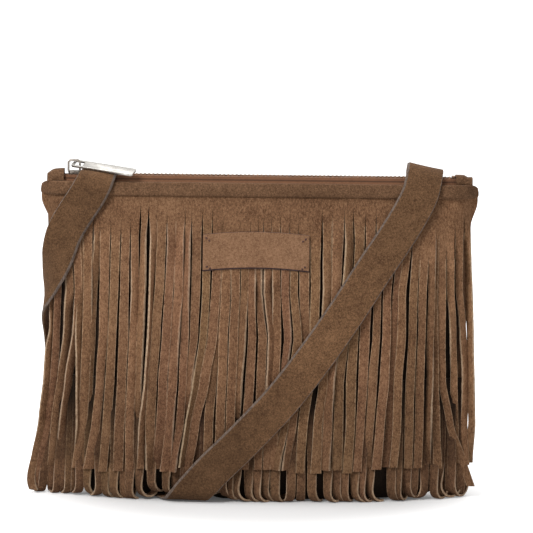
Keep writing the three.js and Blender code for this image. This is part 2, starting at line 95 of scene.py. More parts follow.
class Finish:
    """A material with short names for the nodes that the finishes here are made of."""

    def __init__(self, name, roughness, metallic=0.0, sheen=0.0, gloss=0.5):
        self.material = bpy.data.materials.new(name)
        self.material.use_nodes = True
        self.tree = self.material.node_tree
        self.link = self.tree.links.new
        self.surface = self.tree.nodes["Principled BSDF"].inputs
        for socket, value in (("Roughness", roughness), ("Metallic", metallic),
                              ("Sheen Weight", sheen), ("Specular IOR Level", gloss)):
            self.surface[socket].default_value = value
        self.coords = self.node("TexCoord", {}).outputs

    def node(self, kind, inputs, **settings):
        return add_node(self.tree, kind, inputs, **settings)

    def stretched(self, scale):
        mapping = self.node("Mapping", {"Vector": self.coords["Object"], "Scale": scale})
        return mapping.outputs["Vector"]

    def across(self):
        """How far a point is from a sheet's left side to its right, from 0 to 1."""
        return self.node("SeparateXYZ", {0: self.coords["UV"]}).outputs["X"]

    def cloud(self, scale, detail, vector=None, roughness=0.55, distortion=0.0):
        inputs = {"Vector": vector or self.coords["Object"], "Scale": scale, "Detail": detail,
                  "Roughness": roughness, "Distortion": distortion}
        return self.node("TexNoise", inputs).outputs["Fac"]

    def maths(self, operation, first, second=0.0):
        return self.node("Math", {0: first, 1: second}, operation=operation).outputs["Value"]

    def weighted(self, *parts):
        """The sum of several values, each times its share."""
        total, *rest = [self.maths("MULTIPLY", value, share) for value, share in parts]
        for value in rest:
            total = self.maths("ADD", total, value)
        return total

    def ramp(self, fac, *stops):
        node = self.node("ValToRGB", {"Fac": fac})
        elements = node.color_ramp.elements
        while len(elements) < len(stops):
            elements.new(0.5)
        for element, (place, value) in zip(elements, stops):
            element.position = place
            element.color = value if isinstance(value, tuple) else (value, value, value, 1)
        return node.outputs["Color"]

    def mix(self, fac, first, second, blend="MIX"):
        node = self.node("Mix", {0: fac, 6: first, 7: second}, data_type="RGBA", blend_type=blend)
        return node.outputs[2]

    def toned(self, shade):
        """Lighter or darker by the piece's tone attribute, which holds its own tone together with
        painted shade and painted light, and redder by its warmth.
        """
        tone, warmth = (self.node("Attribute", {}, attribute_name=name).outputs["Fac"]
                        for name in ("tone", "warmth"))
        inputs = {"Hue": self.maths("SUBTRACT", 0.5, warmth), "Value": tone, "Color": shade}
        return self.node("HueSaturation", inputs).outputs["Color"]

    def done(self, shade, height, distance, strength):
        """The material, with its colour and its raised grain."""
        bump = self.node("Bump", {"Height": height, "Distance": distance, "Strength": strength})
        self.link(shade, self.surface["Base Color"])
        self.link(bump.outputs["Normal"], self.surface["Normal"])
        return self.material


def suede(name, dark, middle, light, sheen=0.12, toned=False, edge=None, border=0.09,
          nap=(1, 1, 1)):
    """Brushed split leather: a fine nap, cloudy patches where it has been rubbed, and no shine.
    A toned suede is lighter or darker piece by piece and by the painted shade and painted light
    in its tone attribute, and an edge colour runs along cut borders."""
    finish = Finish(name, 0.92, sheen=sheen, gloss=0.15)
    drift = finish.cloud(24, 2)
    patches = finish.cloud(140, 4, roughness=0.62, distortion=0.4)
    grain = finish.cloud(2100, 2, finish.stretched(nap), 0.7)
    fibre = finish.cloud(950, 3, finish.stretched(nap), 0.7)
    blend = finish.weighted((drift, 0.14), (patches, 0.16), (fibre, 0.38), (grain, 0.32))
    shade = finish.ramp(blend, (0.41, colour(dark)), (0.5, colour(middle)), (0.59, colour(light)))
    if edge:
        aside = finish.maths("ABSOLUTE", finish.maths("SUBTRACT", finish.across(), 0.5))
        loose = finish.maths("MULTIPLY", finish.maths("SUBTRACT", fibre, 0.5), border * 3.3)
        frayed = finish.ramp(finish.maths("ADD", aside, loose), (0.5 - border, 0.0), (0.5, 0.85))
        shade = finish.mix(frayed, shade, colour(edge))
    if toned:
        shade = finish.toned(shade)
    finish.surface["Sheen Roughness"].default_value = 0.5
    finish.surface["Sheen Tint"].default_value = colour(light)
    raised = finish.weighted((grain, 0.6), (fibre, 1.0), (patches, 0.8))
    return finish.done(shade, raised, 0.0003, 0.8)


def cut_leather(name, dark, light, toned=False):
    """The raw cut edge of the suede, paler or greyer than its face, with loose fibres."""
    finish = Finish(name, 0.9, sheen=0.1, gloss=0.15)
    fibre = finish.cloud(900, 3, finish.stretched((1, 1, 0.5)), 0.7)
    shade = finish.ramp(fibre, (0.35, colour(dark)), (0.65, colour(light)))
    return finish.done(finish.toned(shade) if toned else shade, fibre, 0.0004, 0.9)


def woven(name, warp, weft, pitch, painted_shade_lines=()):
    """Plain woven cloth: threads cross at the pitch given, in metres, and lines of painted shade and
    painted highlight can run along it.
    """
    finish = Finish(name, 0.85, sheen=0.15, gloss=0.2)
    place = finish.node("SeparateXYZ", {0: finish.coords["Object"]}).outputs
    waves = [finish.maths("SINE", finish.maths("MULTIPLY", place[axis], 2 * math.pi / pitch))
             for axis in "XYZ"]
    crossing = finish.maths("MULTIPLY", waves[0], finish.maths("ADD", waves[1], waves[2]))
    level = finish.maths("ADD", finish.maths("MULTIPLY", crossing, 0.3), 0.5)
    soft = finish.weighted((level, 0.7), (finish.cloud(300, 3), 0.3))
    shade = finish.ramp(soft, (0.25, colour(weft)), (0.75, colour(warp)))
    # painted shade: the cloth is darkened across its width by the lines given
    if painted_shade_lines:
        shade = finish.mix(1.0, shade, finish.ramp(finish.across(), *painted_shade_lines), "MULTIPLY")
    return finish.done(shade, level, 0.00015, 0.8)


def worn_metal(name, dark, light, roughness, brush=(1, 1, 1)):
    """Cast metal with a drawn grain along brush, rubbed lighter where it has been handled."""
    finish = Finish(name, roughness, metallic=1.0)
    grain = finish.cloud(800, 3, finish.stretched(brush), 0.6)
    both = finish.weighted((grain, 0.4), (finish.cloud(260, 4), 0.6))
    finish.link(finish.ramp(both, (0.3, roughness + 0.12), (0.7, roughness - 0.05)),
                finish.surface["Roughness"])
    shade = finish.ramp(both, (0.35, colour(dark)), (0.65, colour(light)))
    return finish.done(shade, grain, 0.00004, 0.6)


def thread(name, dark, light):
    """Twisted sewing thread."""
    finish = Finish(name, 0.8)
    twist = finish.node("TexWave", {"Vector": finish.coords["Object"], "Scale": 900},
                        bands_direction="DIAGONAL").outputs["Fac"]
    shade = finish.ramp(twist, (0.2, colour(dark)), (0.8, colour(light)))
    return finish.done(shade, twist, 0.0001, 0.7)


along_z = (1, 1, 0.6)
wall_colours = ((80, 57, 40), (106, 78, 57), (128, 97, 72))
# painted shade and painted highlight across the zip tape, from its hem to its edge by the teeth: darker
# at the hem inside the wall, a light line and then a dark groove line where the tape turns over the rim,
# then a lighter ridge
tape_painted_shade_lines = ((0.0, 0.6), (0.43, 0.9), (0.48, 1.0), (0.515, 0.4), (0.55, 0.42), (0.58, 0.85),
             (0.66, 0.8), (1.0, 1.0))

fringe_suede = suede("fringe_suede", (88, 60, 41), (121, 88, 63), (148, 112, 83),
                     toned=True, edge=(176, 145, 115), nap=along_z)
# painted shade: the lower tier's suede is darker than the upper strips', for the shade beneath them
loop_suede_painted_dark = suede("loop_suede_painted_dark", (67, 46, 32), (93, 67, 48), (117, 87, 63),
                   toned=True, edge=(142, 114, 89), nap=along_z)
fringe_edge = cut_leather("fringe_cut_edge", (138, 110, 86), (190, 162, 134), toned=True)
# painted shade: through its tone the front wall is near black where the fringe hangs over it
front_wall_painted_dark = suede("front_wall_suede_painted_dark", *wall_colours, sheen=0.03, toned=True)
back_suede = suede("back_wall_suede", *wall_colours)
band_suede = suede("band_suede", (73, 51, 35), (100, 73, 52), (127, 96, 72))
strap_suede = suede("strap_suede", (71, 49, 33), (99, 72, 49), (124, 92, 66),
                    toned=True, edge=(140, 116, 95), border=0.03)
strap_edge = cut_leather("strap_cut_edge", (76, 64, 56), (120, 104, 93))
label_suede = suede("label_leather", (103, 73, 52), (129, 96, 71), (150, 115, 88), sheen=0.08)
label_edge = cut_leather("label_cut_edge", (46, 30, 30), (82, 60, 58))
lining_cloth = woven("lining_cloth", (74, 56, 44), (52, 39, 30), 0.0006)
tape_cloth = woven("zip_tape_cloth", (150, 106, 77), (108, 73, 52), 0.0008, tape_painted_shade_lines)
dark_metal = worn_metal("zip_metal", (66, 48, 36), (138, 108, 84), 0.45)
slider_metal = worn_metal("slider_metal", (96, 88, 80), (160, 152, 144), 0.4)
nickel = worn_metal("pull_nickel", (143, 140, 135), (180, 177, 172), 0.34, (0.15, 1, 1))
dark_thread = thread("dark_thread", (52, 28, 24), (84, 50, 42))
brown_thread = thread("brown_thread", (70, 50, 37), (106, 80, 60))


# ---------------------------------------------------------------- the pouch's outline, in millimetres

WIDTH, HEIGHT = 255, 187.6
BELLY, HEEL = 55, 24                                # how high the fullest place and the heel are
BELLY_DEPTH, FOOT_DEPTH, MOUTH_DEPTH = 56, 34, 20
CORNER, TAPER, SEAM_SHIFT = 30, 6, 6
SEAM_GAP = 0.15                                     # from the middle to each half of the bag
WALL, SHEET, BINDING, LINING, LABEL = 1.6, 1.2, 1.4, 0.8, 1.5     # how thick each piece is
BAND_TOP, BAND_HEIGHT = 189.3, 8.2
ROUND_FROM, ROUND_REACH = 122.5, 5                  # where the top's ends start to drop
GROOVE, GROOVE_FADE = 3.3, 12                       # room beneath the bag for the strap


def ease(t):
    t = min(1, max(0, t))
    return t * t * (3 - 2 * t)


def wander(x, y=0.0, z=0.0):
    return noise.noise(Vector((x, y, z)))


def quarter_round(t):
    """How far a quarter circle of radius 1 has dropped, at t along it."""
    return 1 - math.sqrt(1 - min(1, max(0, t)) ** 2)


def half_width(z):
    return WIDTH / 2 - TAPER * (1 - min(1, z / HEIGHT)) - CORNER * quarter_round(1 - z / CORNER)


def climb(z):
    return min(1, max(0, (z - BELLY) / (HEIGHT - BELLY)))


def half_depth(z):
    if z < HEEL:
        heel = math.sqrt(1 - (1 - max(0, z) / HEEL) ** 2)
        return (FOOT_DEPTH + (BELLY_DEPTH - FOOT_DEPTH) * heel) / 2
    return (MOUTH_DEPTH + (BELLY_DEPTH - MOUTH_DEPTH) * math.cos(climb(z) * math.pi / 2)) / 2


def fullness(u, z):
    return max(0, 1 - abs(u) ** (3 + 18 * climb(z) ** 2))


def depth_at(x, z, inset=0.0):
    return (half_depth(z) - inset) * fullness(x / (half_width(z) - inset), z)


def strap_lift(x, y):
    """The bottom is lifted where the strap passes beneath it."""
    return GROOVE * (1 - ease((abs(x + 57 + 0.48 * y) * 0.9 - 14) / GROOVE_FADE))


def curtain(x, z):
    """Where the fringe's first layer hangs: on the belly, then straight down."""
    return -(SEAM_GAP + max(0, depth_at(x, max(z, BELLY))))


# ---------------------------------------------------------------- making pieces

def piece(name, points, faces, materials, uvs, kinds=None, **shades):
    """A piece of sheet, padding or cord from its points, in millimetres. Each face is of one of the
    kinds of material, and each shade is a list of values, one for each point."""
    mesh = bpy.data.meshes.new(name)
    mesh.from_pydata([tuple(c * MM for c in p) for p in points], [], faces)
    for material in materials:
        mesh.materials.append(material)
    if kinds:
        mesh.polygons.foreach_set("material_index", kinds)
    layer = mesh.uv_layers.new(name="UVMap")
    for loop in mesh.loops:
        layer.data[loop.index].uv = uvs[loop.vertex_index]
    for shade, values in shades.items():
        if values:
            mesh.attributes.new(shade, "FLOAT", "POINT").data.foreach_set("value", values)
    obj = add_object(name, mesh)
    mesh.validate()
    mesh.update()
    return obj


def belongs(obj, node, body="bag"):
    """The body that a piece rides on, and the solid that it stands for."""
    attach(obj, body)
    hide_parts(node)


def face_out(obj, merge=None):
    """Turns every face outwards, after points closer than merge are sewn together."""
    bm = bmesh.new()
    bm.from_mesh(obj.data)
    if merge:
        bmesh.ops.remove_doubles(bm, verts=bm.verts, dist=merge * MM)
    bmesh.ops.recalc_face_normals(bm, faces=bm.faces)
    bm.to_mesh(obj.data)
    bm.free()


def pick(objects):
    bpy.ops.object.select_all(action="DESELECT")
    for obj in objects:
        obj.select_set(True)
    bpy.context.view_layer.objects.active = objects[-1]


def joined(objects, name):
    """All the objects as one, in the last one's place."""
    pick(objects)
    bpy.ops.object.join()
    whole = bpy.context.object
    whole.name = whole.data.name = name
    return whole


def smooth(obj, degrees):
    pick([obj])
    bpy.ops.object.shade_smooth_by_angle(angle=math.radians(degrees))


def bevelled(obj, width, segments, degrees):
    pick([obj])
    bevel = obj.modifiers.new("softened_edges", "BEVEL")
    bevel.width = width * MM
    bevel.segments = segments
    bevel.limit_method = "ANGLE"
    bevel.angle_limit = math.radians(degrees)
    bevel.harden_normals = False
    bpy.ops.object.modifier_apply(modifier=bevel.name)


def softened(obj, width, segments):
    """The edges of a thick piece of leather, rounded over."""
    bevelled(obj, width, segments, 55)
    smooth(obj, 50)


def block(name, size, cuts, material, centre=(0, 0, 0)):
    """A block of that size and place in millimetres, cut that many times along each axis."""
    bpy.ops.object.select_all(action="DESELECT")
    bpy.ops.mesh.primitive_cube_add(size=1, location=[c * MM for c in centre])
    obj = bpy.context.object
    obj.name = obj.data.name = name
    obj.scale = [s * MM for s in size]
    bpy.ops.object.transform_apply(location=True, rotation=False, scale=True)
    bpy.ops.object.mode_set(mode="EDIT")
    bpy.ops.mesh.select_mode(type="EDGE")
    for axis, number in enumerate(cuts):
        if not number:
            continue
        bpy.ops.mesh.select_all(action="DESELECT")
        bm = bmesh.from_edit_mesh(obj.data)
        for edge in bm.edges:
            run = edge.verts[1].co - edge.verts[0].co
            edge.select = abs(run[axis]) > 0.99 * run.length
        bmesh.update_edit_mesh(obj.data)
        bpy.ops.mesh.subdivide(number_cuts=number)
    bpy.ops.object.mode_set(mode="OBJECT")
    obj.data.materials.append(material)
    return obj


def shaped(obj, lay):
    """Moves every point of a piece, in millimetres, to where lay puts it."""
    for vertex in obj.data.vertices:
        vertex.co = Vector(lay(*(c / MM for c in vertex.co))) * MM
    obj.data.update()


def closed_sheet(rows, columns, outer, inner):
    """Points, faces and uvs of a closed sheet between two grids of points."""
    spots = [(i, j) for i in range(rows + 1) for j in range(columns + 1)]
    points = [outer(i, j) for i, j in spots] + [inner(i, j) for i, j in spots]
    uvs = [(j / columns, i / rows) for i, j in spots] * 2
    wide, back = columns + 1, len(spots)
    faces, borders = [], []
    for i in range(rows):
        for j in range(columns):
            a = i * wide + j
            b, c, d = a + 1, a + wide + 1, a + wide
            faces += [(a, b, c, d), (a + back, d + back, c + back, b + back)]
    for j in range(columns):
        borders += [(j + 1, j), (rows * wide + j, rows * wide + j + 1)]
    for i in range(rows):
        borders += [(i * wide, (i + 1) * wide), ((i + 2) * wide - 1, (i + 1) * wide - 1)]
    faces += [(a, b, b + back, a + back) for a, b in borders]
    return points, faces, uvs


# ---------------------------------------------------------------- shoulder strap

# The strap's middle line in metres, the way its outer face looks, and how far, from 0 to 1, its
# width is turned level to make a crease
STRAP_ROUTE = [
    (-0.096, 0.0179, 0.156, 0, 1, 0.1, 0), (-0.096, 0.0162, 0.167, 0, 1, 0.15, 0),
    (-0.096, 0.0146, 0.18, 0, 1, 0.1, 0), (-0.096, 0.0139, 0.1884, 0, 0.95, 0.3, 0),
    (-0.0958, 0.0108, 0.1928, 0, 0.6, 0.8, 0), (-0.0956, 0.0048, 0.1948, 0, 0.25, 0.97, 0),
    (-0.0956, 0, 0.1952, 0, 0, 1, 0), (-0.096, -0.006, 0.1946, 0, -0.3, 0.95, 0),
    (-0.0972, -0.0128, 0.1924, 0, -0.65, 0.75, 0), (-0.099, -0.0159, 0.1882, 0, -0.96, 0.3, 0),
    (-0.1035, -0.0168, 0.18, 0, -0.99, 0.1, 0), (-0.109, -0.0176, 0.1715, -0.05, -1, 0.1, 0),
    (-0.1158, -0.0174, 0.1595, -0.15, -0.98, 0.1, 0), (-0.1203, -0.0137, 0.145, -0.45, -0.9, 0, 0),
    (-0.1247, -0.0052, 0.13, -0.85, -0.5, 0, 0), (-0.1282, 0.0035, 0.115, -1, 0.1, 0, 0),
    (-0.1225, 0.0125, 0.098, -0.75, 0.65, 0, 0), (-0.118, 0.0195, 0.08, -0.4, 0.9, 0, 0),
    (-0.112, 0.0262, 0.06, -0.1, 0.99, 0.05, 0), (-0.1075, 0.031, 0.038, 0, 0.98, 0.15, 0),
    (-0.105, 0.036, 0.017, 0, 0.85, 0.5, 0), (-0.1045, 0.044, 0.005, -0.1, 0.45, 0.9, 0),
    (-0.1045, 0.055, 0.0068, -0.45, 0.1, 0.88, 0), (-0.1035, 0.066, 0.0108, -0.88, 0.1, 0.45, 0),
    (-0.098, 0.077, 0.0114, -0.85, 0.52, 0, 0), (-0.084, 0.084, 0.0114, -0.25, 0.97, 0, 0),
    (-0.055, 0.0855, 0.0114, 0, 1, 0, 0), (-0.02, 0.085, 0.0114, 0, 1, 0, 0),
    (0.015, 0.086, 0.0114, 0, 1, 0, 0), (0.05, 0.085, 0.0114, 0.08, 1, 0, 0),
    (0.069, 0.08, 0.0114, 0.6, 0.8, 0, 0), (0.076, 0.068, 0.0114, 1, 0, 0, 0),
    (0.069, 0.056, 0.0114, 0.6, -0.8, 0, 0), (0.05, 0.0515, 0.0114, 0.08, -1, 0, 0),
    (0.02, 0.0525, 0.0114, -0.03, -1, 0, 0), (-0.012, 0.0535, 0.0114, 0, -1, 0, 0),
    (-0.042, 0.0525, 0.0114, 0.08, -1, 0, 0), (-0.06, 0.048, 0.0112, 0.5, -0.8, -0.3, 0),
    (-0.069, 0.038, 0.008, 0.5, -0.2, -0.8, 0), (-0.07, 0.027, 0.0032, 0.1, 0, -1, 0),
    (-0.067, 0.0195, 0.0016, 0.02, 0, -1, 0), (-0.0605, 0.006, 0.0014, 0, 0, -1, 0),
    (-0.054, -0.007, 0.0014, 0, 0, -1, 0), (-0.0475, -0.02, 0.0014, 0, 0, -1, 0),
    (-0.0435, -0.028, 0.0017, 0, -0.25, -0.97, 0.8), (-0.04, -0.034, 0.0042, 0, -0.78, -0.62, 1),
    (-0.0355, -0.0364, 0.0095, 0, -1, 0, 0.8), (-0.027, -0.036, 0.019, 0, -1, 0, 0.3),
    (-0.008, -0.0356, 0.038, 0, -1, 0, 0), (0.014, -0.0354, 0.062, 0, -1, 0.05, 0),
    (0.034, -0.0334, 0.088, 0, -1, 0.15, 0), (0.052, -0.0298, 0.114, 0, -0.98, 0.2, 0),
    (0.068, -0.0256, 0.139, 0, -0.97, 0.25, 0), (0.082, -0.0214, 0.16, 0, -0.97, 0.25, 0),
    (0.091, -0.0182, 0.175, 0, -0.98, 0.2, 0), (0.0955, -0.0168, 0.1846, 0.06, -0.98, 0.15, 0),
    (0.097, -0.0156, 0.1904, 0.12, -0.92, 0.38, 0), (0.0982, -0.0118, 0.1958, 0.2, -0.7, 0.65, 0),
    (0.0988, -0.005, 0.1986, 0.22, -0.3, 0.93, 0), (0.099, 0.004, 0.1984, 0.2, 0.25, 0.95, 0),
    (0.0988, 0.0116, 0.1938, 0.1, 0.75, 0.65, 0), (0.0985, 0.0144, 0.185, 0, 1, 0.1, 0),
    (0.0983, 0.016, 0.168, 0, 1, 0.15, 0), (0.098, 0.0179, 0.156, 0, 1, 0.1, 0),
]
STRAP_WIDTH, STRAP_THICKNESS, STRAP_LENGTH = 0.022, 0.002, 1.04


def smooth_curve(points):
    """A curve through all the points, as a rope laid over pegs, as a function of t from 0 to 1."""
    count = len(points) - 1

    def at(t):
        place = min(count - 1e-9, max(0, t * count))
        i = int(place)
        w = place - i
        p1, p2 = points[i], points[i + 1]
        p0 = points[i - 1] if i > 0 else 2 * p1 - p2
        p3 = points[i + 2] if i + 2 <= count else 2 * p2 - p1
        step = [max(1e-9, (b - a).length_squared) ** 0.25 for a, b in ((p0, p1), (p1, p2), (p2, p3))]
        if step[1] < 1e-4:
            step[1] = 1
        step[0] = step[1] if step[0] < 1e-4 else step[0]
        step[2] = step[1] if step[2] < 1e-4 else step[2]
        start = ((p1 - p0) / step[0] - (p2 - p0) / (step[0] + step[1]) + (p2 - p1) / step[1]) * step[1]
        end = ((p2 - p1) / step[1] - (p3 - p1) / (step[1] + step[2]) + (p3 - p2) / step[2]) * step[1]
        return (p1 + start * w + (3 * (p2 - p1) - 2 * start - end) * w ** 2
                + (2 * (p1 - p2) + start + end) * w ** 3)
    return at


def strap_stations(count):
    """Evenly spaced stations along the strap, each with its centre, across and out, and the length."""
    centre = smooth_curve([Vector(p[:3]) / MM for p in STRAP_ROUTE])
    facing = smooth_curve([Vector(p[3:6]) for p in STRAP_ROUTE])
    crease = smooth_curve([Vector((p[6], 0, 0)) for p in STRAP_ROUTE])
    steps = 4000
    samples = [centre(k / steps) for k in range(steps + 1)]
    run = [0.0]
    for a, b in zip(samples, samples[1:]):
        run.append(run[-1] + (b - a).length)
    stations, k = [], 0
    for i in range(count + 1):
        want = run[-1] * i / count
        while k < steps - 1 and run[k + 1] < want:
            k += 1
        t = (k + (want - run[k]) / max(1e-9, run[k + 1] - run[k])) / steps
        along = (centre(min(1, t + 1e-4)) - centre(max(0, t - 1e-4))).normalized()
        square = along.cross(facing(t)).normalized()
        out = square.cross(along).normalized()
        level = Vector((1, 0, 0)) - out * out.x
        across = square.lerp(level, crease(t).x)
        across /= across.cross(along).length
        stations.append((centre(t), across, out))
    return stations, run[-1]


def flat_strap():
    """Flat suede, cut on both sides, with a soft uneven lie and rounded cut edges."""
    count = 420
    stations, length = strap_stations(count)
    half, thick = STRAP_WIDTH / MM / 2, STRAP_THICKNESS / MM / 2
    across = [-1, -0.89, -0.75, -0.45, 0, 0.45, 0.75, 0.965, 1]
    points, uvs, faces, kinds, tones = [], [], [], [], []
    for i, (centre, side, out) in enumerate(stations):
        run = i / count * length
        ends = ease(min(i, count - i) / 12)
        lie = 0.35 * ends * wander(run / 34, 3.1)
        # painted light and painted shade in the strap's tone: lighter where it crosses the front from
        # about 40 to 165 mm up, and darker below 55 mm
        lit = ease((centre.z - 40) / 50) * ease((165 - centre.z) / 45) * (centre.x > -40)
        for face in (1, -1):
            for s in (across if face > 0 else reversed(across)):
                ripple = 0.22 * ends * wander(run / 16, s * 1.6, 7.7) + 0.4 * lie * s
                edge = 1 if abs(s) < 1 else 0.25
                fray = 0.16 * wander(run / 2.2, s * 9) * (abs(s) == 1)
                raised = face * thick * edge + ripple
                points.append(centre + side * s * (half + fray) + out * raised)
                uvs.append(((s + 1) / 2, run / length * 40))
                tones.append(0.93 - 0.2 * ease((55 - centre.z) / 40) + 0.24 * lit)
    ring = len(across) * 2
    cut_sides = (0, len(across) - 2, len(across) - 1, ring - 1)
    for i in range(count):
        for j in range(ring):
            a, b = i * ring + j, i * ring + (j + 1) % ring
            faces.append((a, b, b + ring, a + ring))
            kinds.append(1 if j in cut_sides else 0)
    for start in (0, count * ring):
        faces.append(tuple(start + j for j in range(ring)))
        kinds.append(1)
    strap = piece("strap", points, faces, [strap_suede, strap_edge], uvs, kinds, tone=tones)
    face_out(strap)
    smooth(strap, 60)
    belongs(strap, "shoulder_strap")
    return stations


strap_line = flat_strap()
front_crossing = [s[0] for s in strap_line if s[0].y < -10 and s[0].z > 3]


def under_strap(x, y, z):
    """Keeps a hanging layer's face behind the strap where it crosses the front, easing off beside it."""
    best, nearest = 22.0 ** 2, None
    for centre in front_crossing:
        apart = (centre.x - x) ** 2 + (centre.z - z) ** 2
        if apart < best:
            best, nearest = apart, centre
    if nearest is None:
        return y
    limit = nearest.y + 1.35 + SHEET - max(0, math.sqrt(best) - 12.5) * 0.6
    return max(y, min(limit, curtain(x, z) - 0.6))


# ---------------------------------------------------------------- pouch

def pouch_wall(name, node, side, inset, thickness, rim, floor_gap, material, crease, toned=False):
    """One wall of the pouch, from the seam under the foot up to its rim, as one sagging shell.
    A toned wall is painted dark in the middle: painted shade where the fringe hangs over it."""
    across, foot_rows, wall_rows = 72, 8, 52

    def surface(depth_in):
        def at(i, j):
            u = math.sin((i / across - 0.5) * math.pi)
            on_foot = j < foot_rows
            reach = j / foot_rows if on_foot else 1
            t = 0 if on_foot else (j - foot_rows) / wall_rows
            level = rim * t ** 1.35
            x = u * (half_width(level) - depth_in)
            depth = (half_depth(level) - depth_in) * fullness(u, level) * reach
            y = side * (SEAM_GAP + depth) + SEAM_SHIFT * fullness(u, 0) * (1 - reach)
            floor = depth_in + floor_gap + strap_lift(x, y) * max(0, 1 - level / HEEL)
            z = floor + level * (1 - floor / rim)
            loose = crease * ease(z / 25) * ease((rim - z) / 30) * ease((1 - abs(u)) / 0.12)
            fold = (0.5 + 0.5 * wander(x / 46, z / 70, side * 4)
                    + 0.5 * abs(wander(x / 19, z / 34, side * 9)))
            return (x, y - side * loose * fold, z)
        return at

    # painted shade: near black except within a few millimetres of the wall's sides
    def tone(x, z):
        return 0.08 + 0.92 * ease((abs(x) - 0.955 * half_width(z)) / 3)
    points, faces, uvs = closed_sheet(across, foot_rows + wall_rows, surface(inset),
                                      surface(inset + thickness))
    tones = [tone(x, z) for x, _, z in points] if toned else None
    wall = piece(name, points, faces, [material], uvs, tone=tones)
    face_out(wall)
    smooth(wall, 50)
    belongs(wall, node)
    return wall


front_wall = pouch_wall("front_wall", "front_panel", -1, 0, WALL, HEIGHT, 0,
                        front_wall_painted_dark, 0.3, True)
back_wall = pouch_wall("back_wall", "back_panel", 1, 0, WALL, HEIGHT, 0,
                       back_suede, 1.5)
LINING_INSET, LINING_TOP, LINING_FLOOR = 2.2, 177.4, 1.2
for name, side, node in (("lining_front", -1, "front_lining"), ("lining_back", 1, "back_lining")):
    lining = pouch_wall(name, node, side, LINING_INSET, LINING, LINING_TOP, LINING_FLOOR,
                        lining_cloth, 0.2)


# ---------------------------------------------------------------- binding along the mouth

def binding(name, side, stand_off, node):
    """Suede rolled over the mouth's edge: up the outside, round the top and in over the rim."""
    outer, fold, low = -stand_off - BINDING, 1.45, BAND_TOP - BAND_HEIGHT
    radius = 1.3
    rise = BAND_TOP - radius - low
    turn = radius * math.pi / 2
    over = fold - outer - radius
    total = rise + turn + over
    band = block(name, (2, BINDING, total), (110, 0, 22), band_suede)

    def lay(x, y, z):
        run = max(0, z + total / 2)
        deep = (BINDING / 2 + y) / BINDING
        if run < rise:
            inset, level, out, up = outer, low + run, 1, 0
        elif run < rise + turn:
            angle = (run - rise) / radius
            inset = outer + radius * (1 - math.cos(angle))
            level = low + rise + radius * math.sin(angle)
            out, up = math.cos(angle), math.sin(angle)
        else:
            inset, level, out, up = outer + radius + run - rise - turn, BAND_TOP, 0, 1
        u = math.sin(x * math.pi / 2)
        end = (abs(u) * WIDTH / 2 - ROUND_FROM) / ROUND_REACH
        level -= 2.4 * quarter_round(end) * ease((level - low) / 7)
        plump = 0.32 * math.sin(min(1, run / rise) * math.pi) ** 0.6 if run < rise else 0
        plump -= 1.0 * max(0, 1 - run / 0.9) ** 1.5
        plump += 0.22 * wander(u * 16, level / 6, side * 3) * ease((1 - abs(u)) / 0.02)
        push = (1 - deep) * BINDING * 0.98
        inset += (push - plump * deep) * out
        level -= push * up
        level += 0.15 * wander(u * 22, 5.5, side) * (run < rise)
        here = u * (WIDTH / 2 - inset)
        return (here, side * (SEAM_GAP + depth_at(here, min(level, HEIGHT + 1.7), inset)), level)
    shaped(band, lay)
    face_out(band)
    softened(band, 0.3, 2)
    belongs(band, node)


binding("front_band", -1, 2.0, "front_top_band")
binding("back_band", 1, 0.3, "back_top_band")


# ---------------------------------------------------------------- fringe

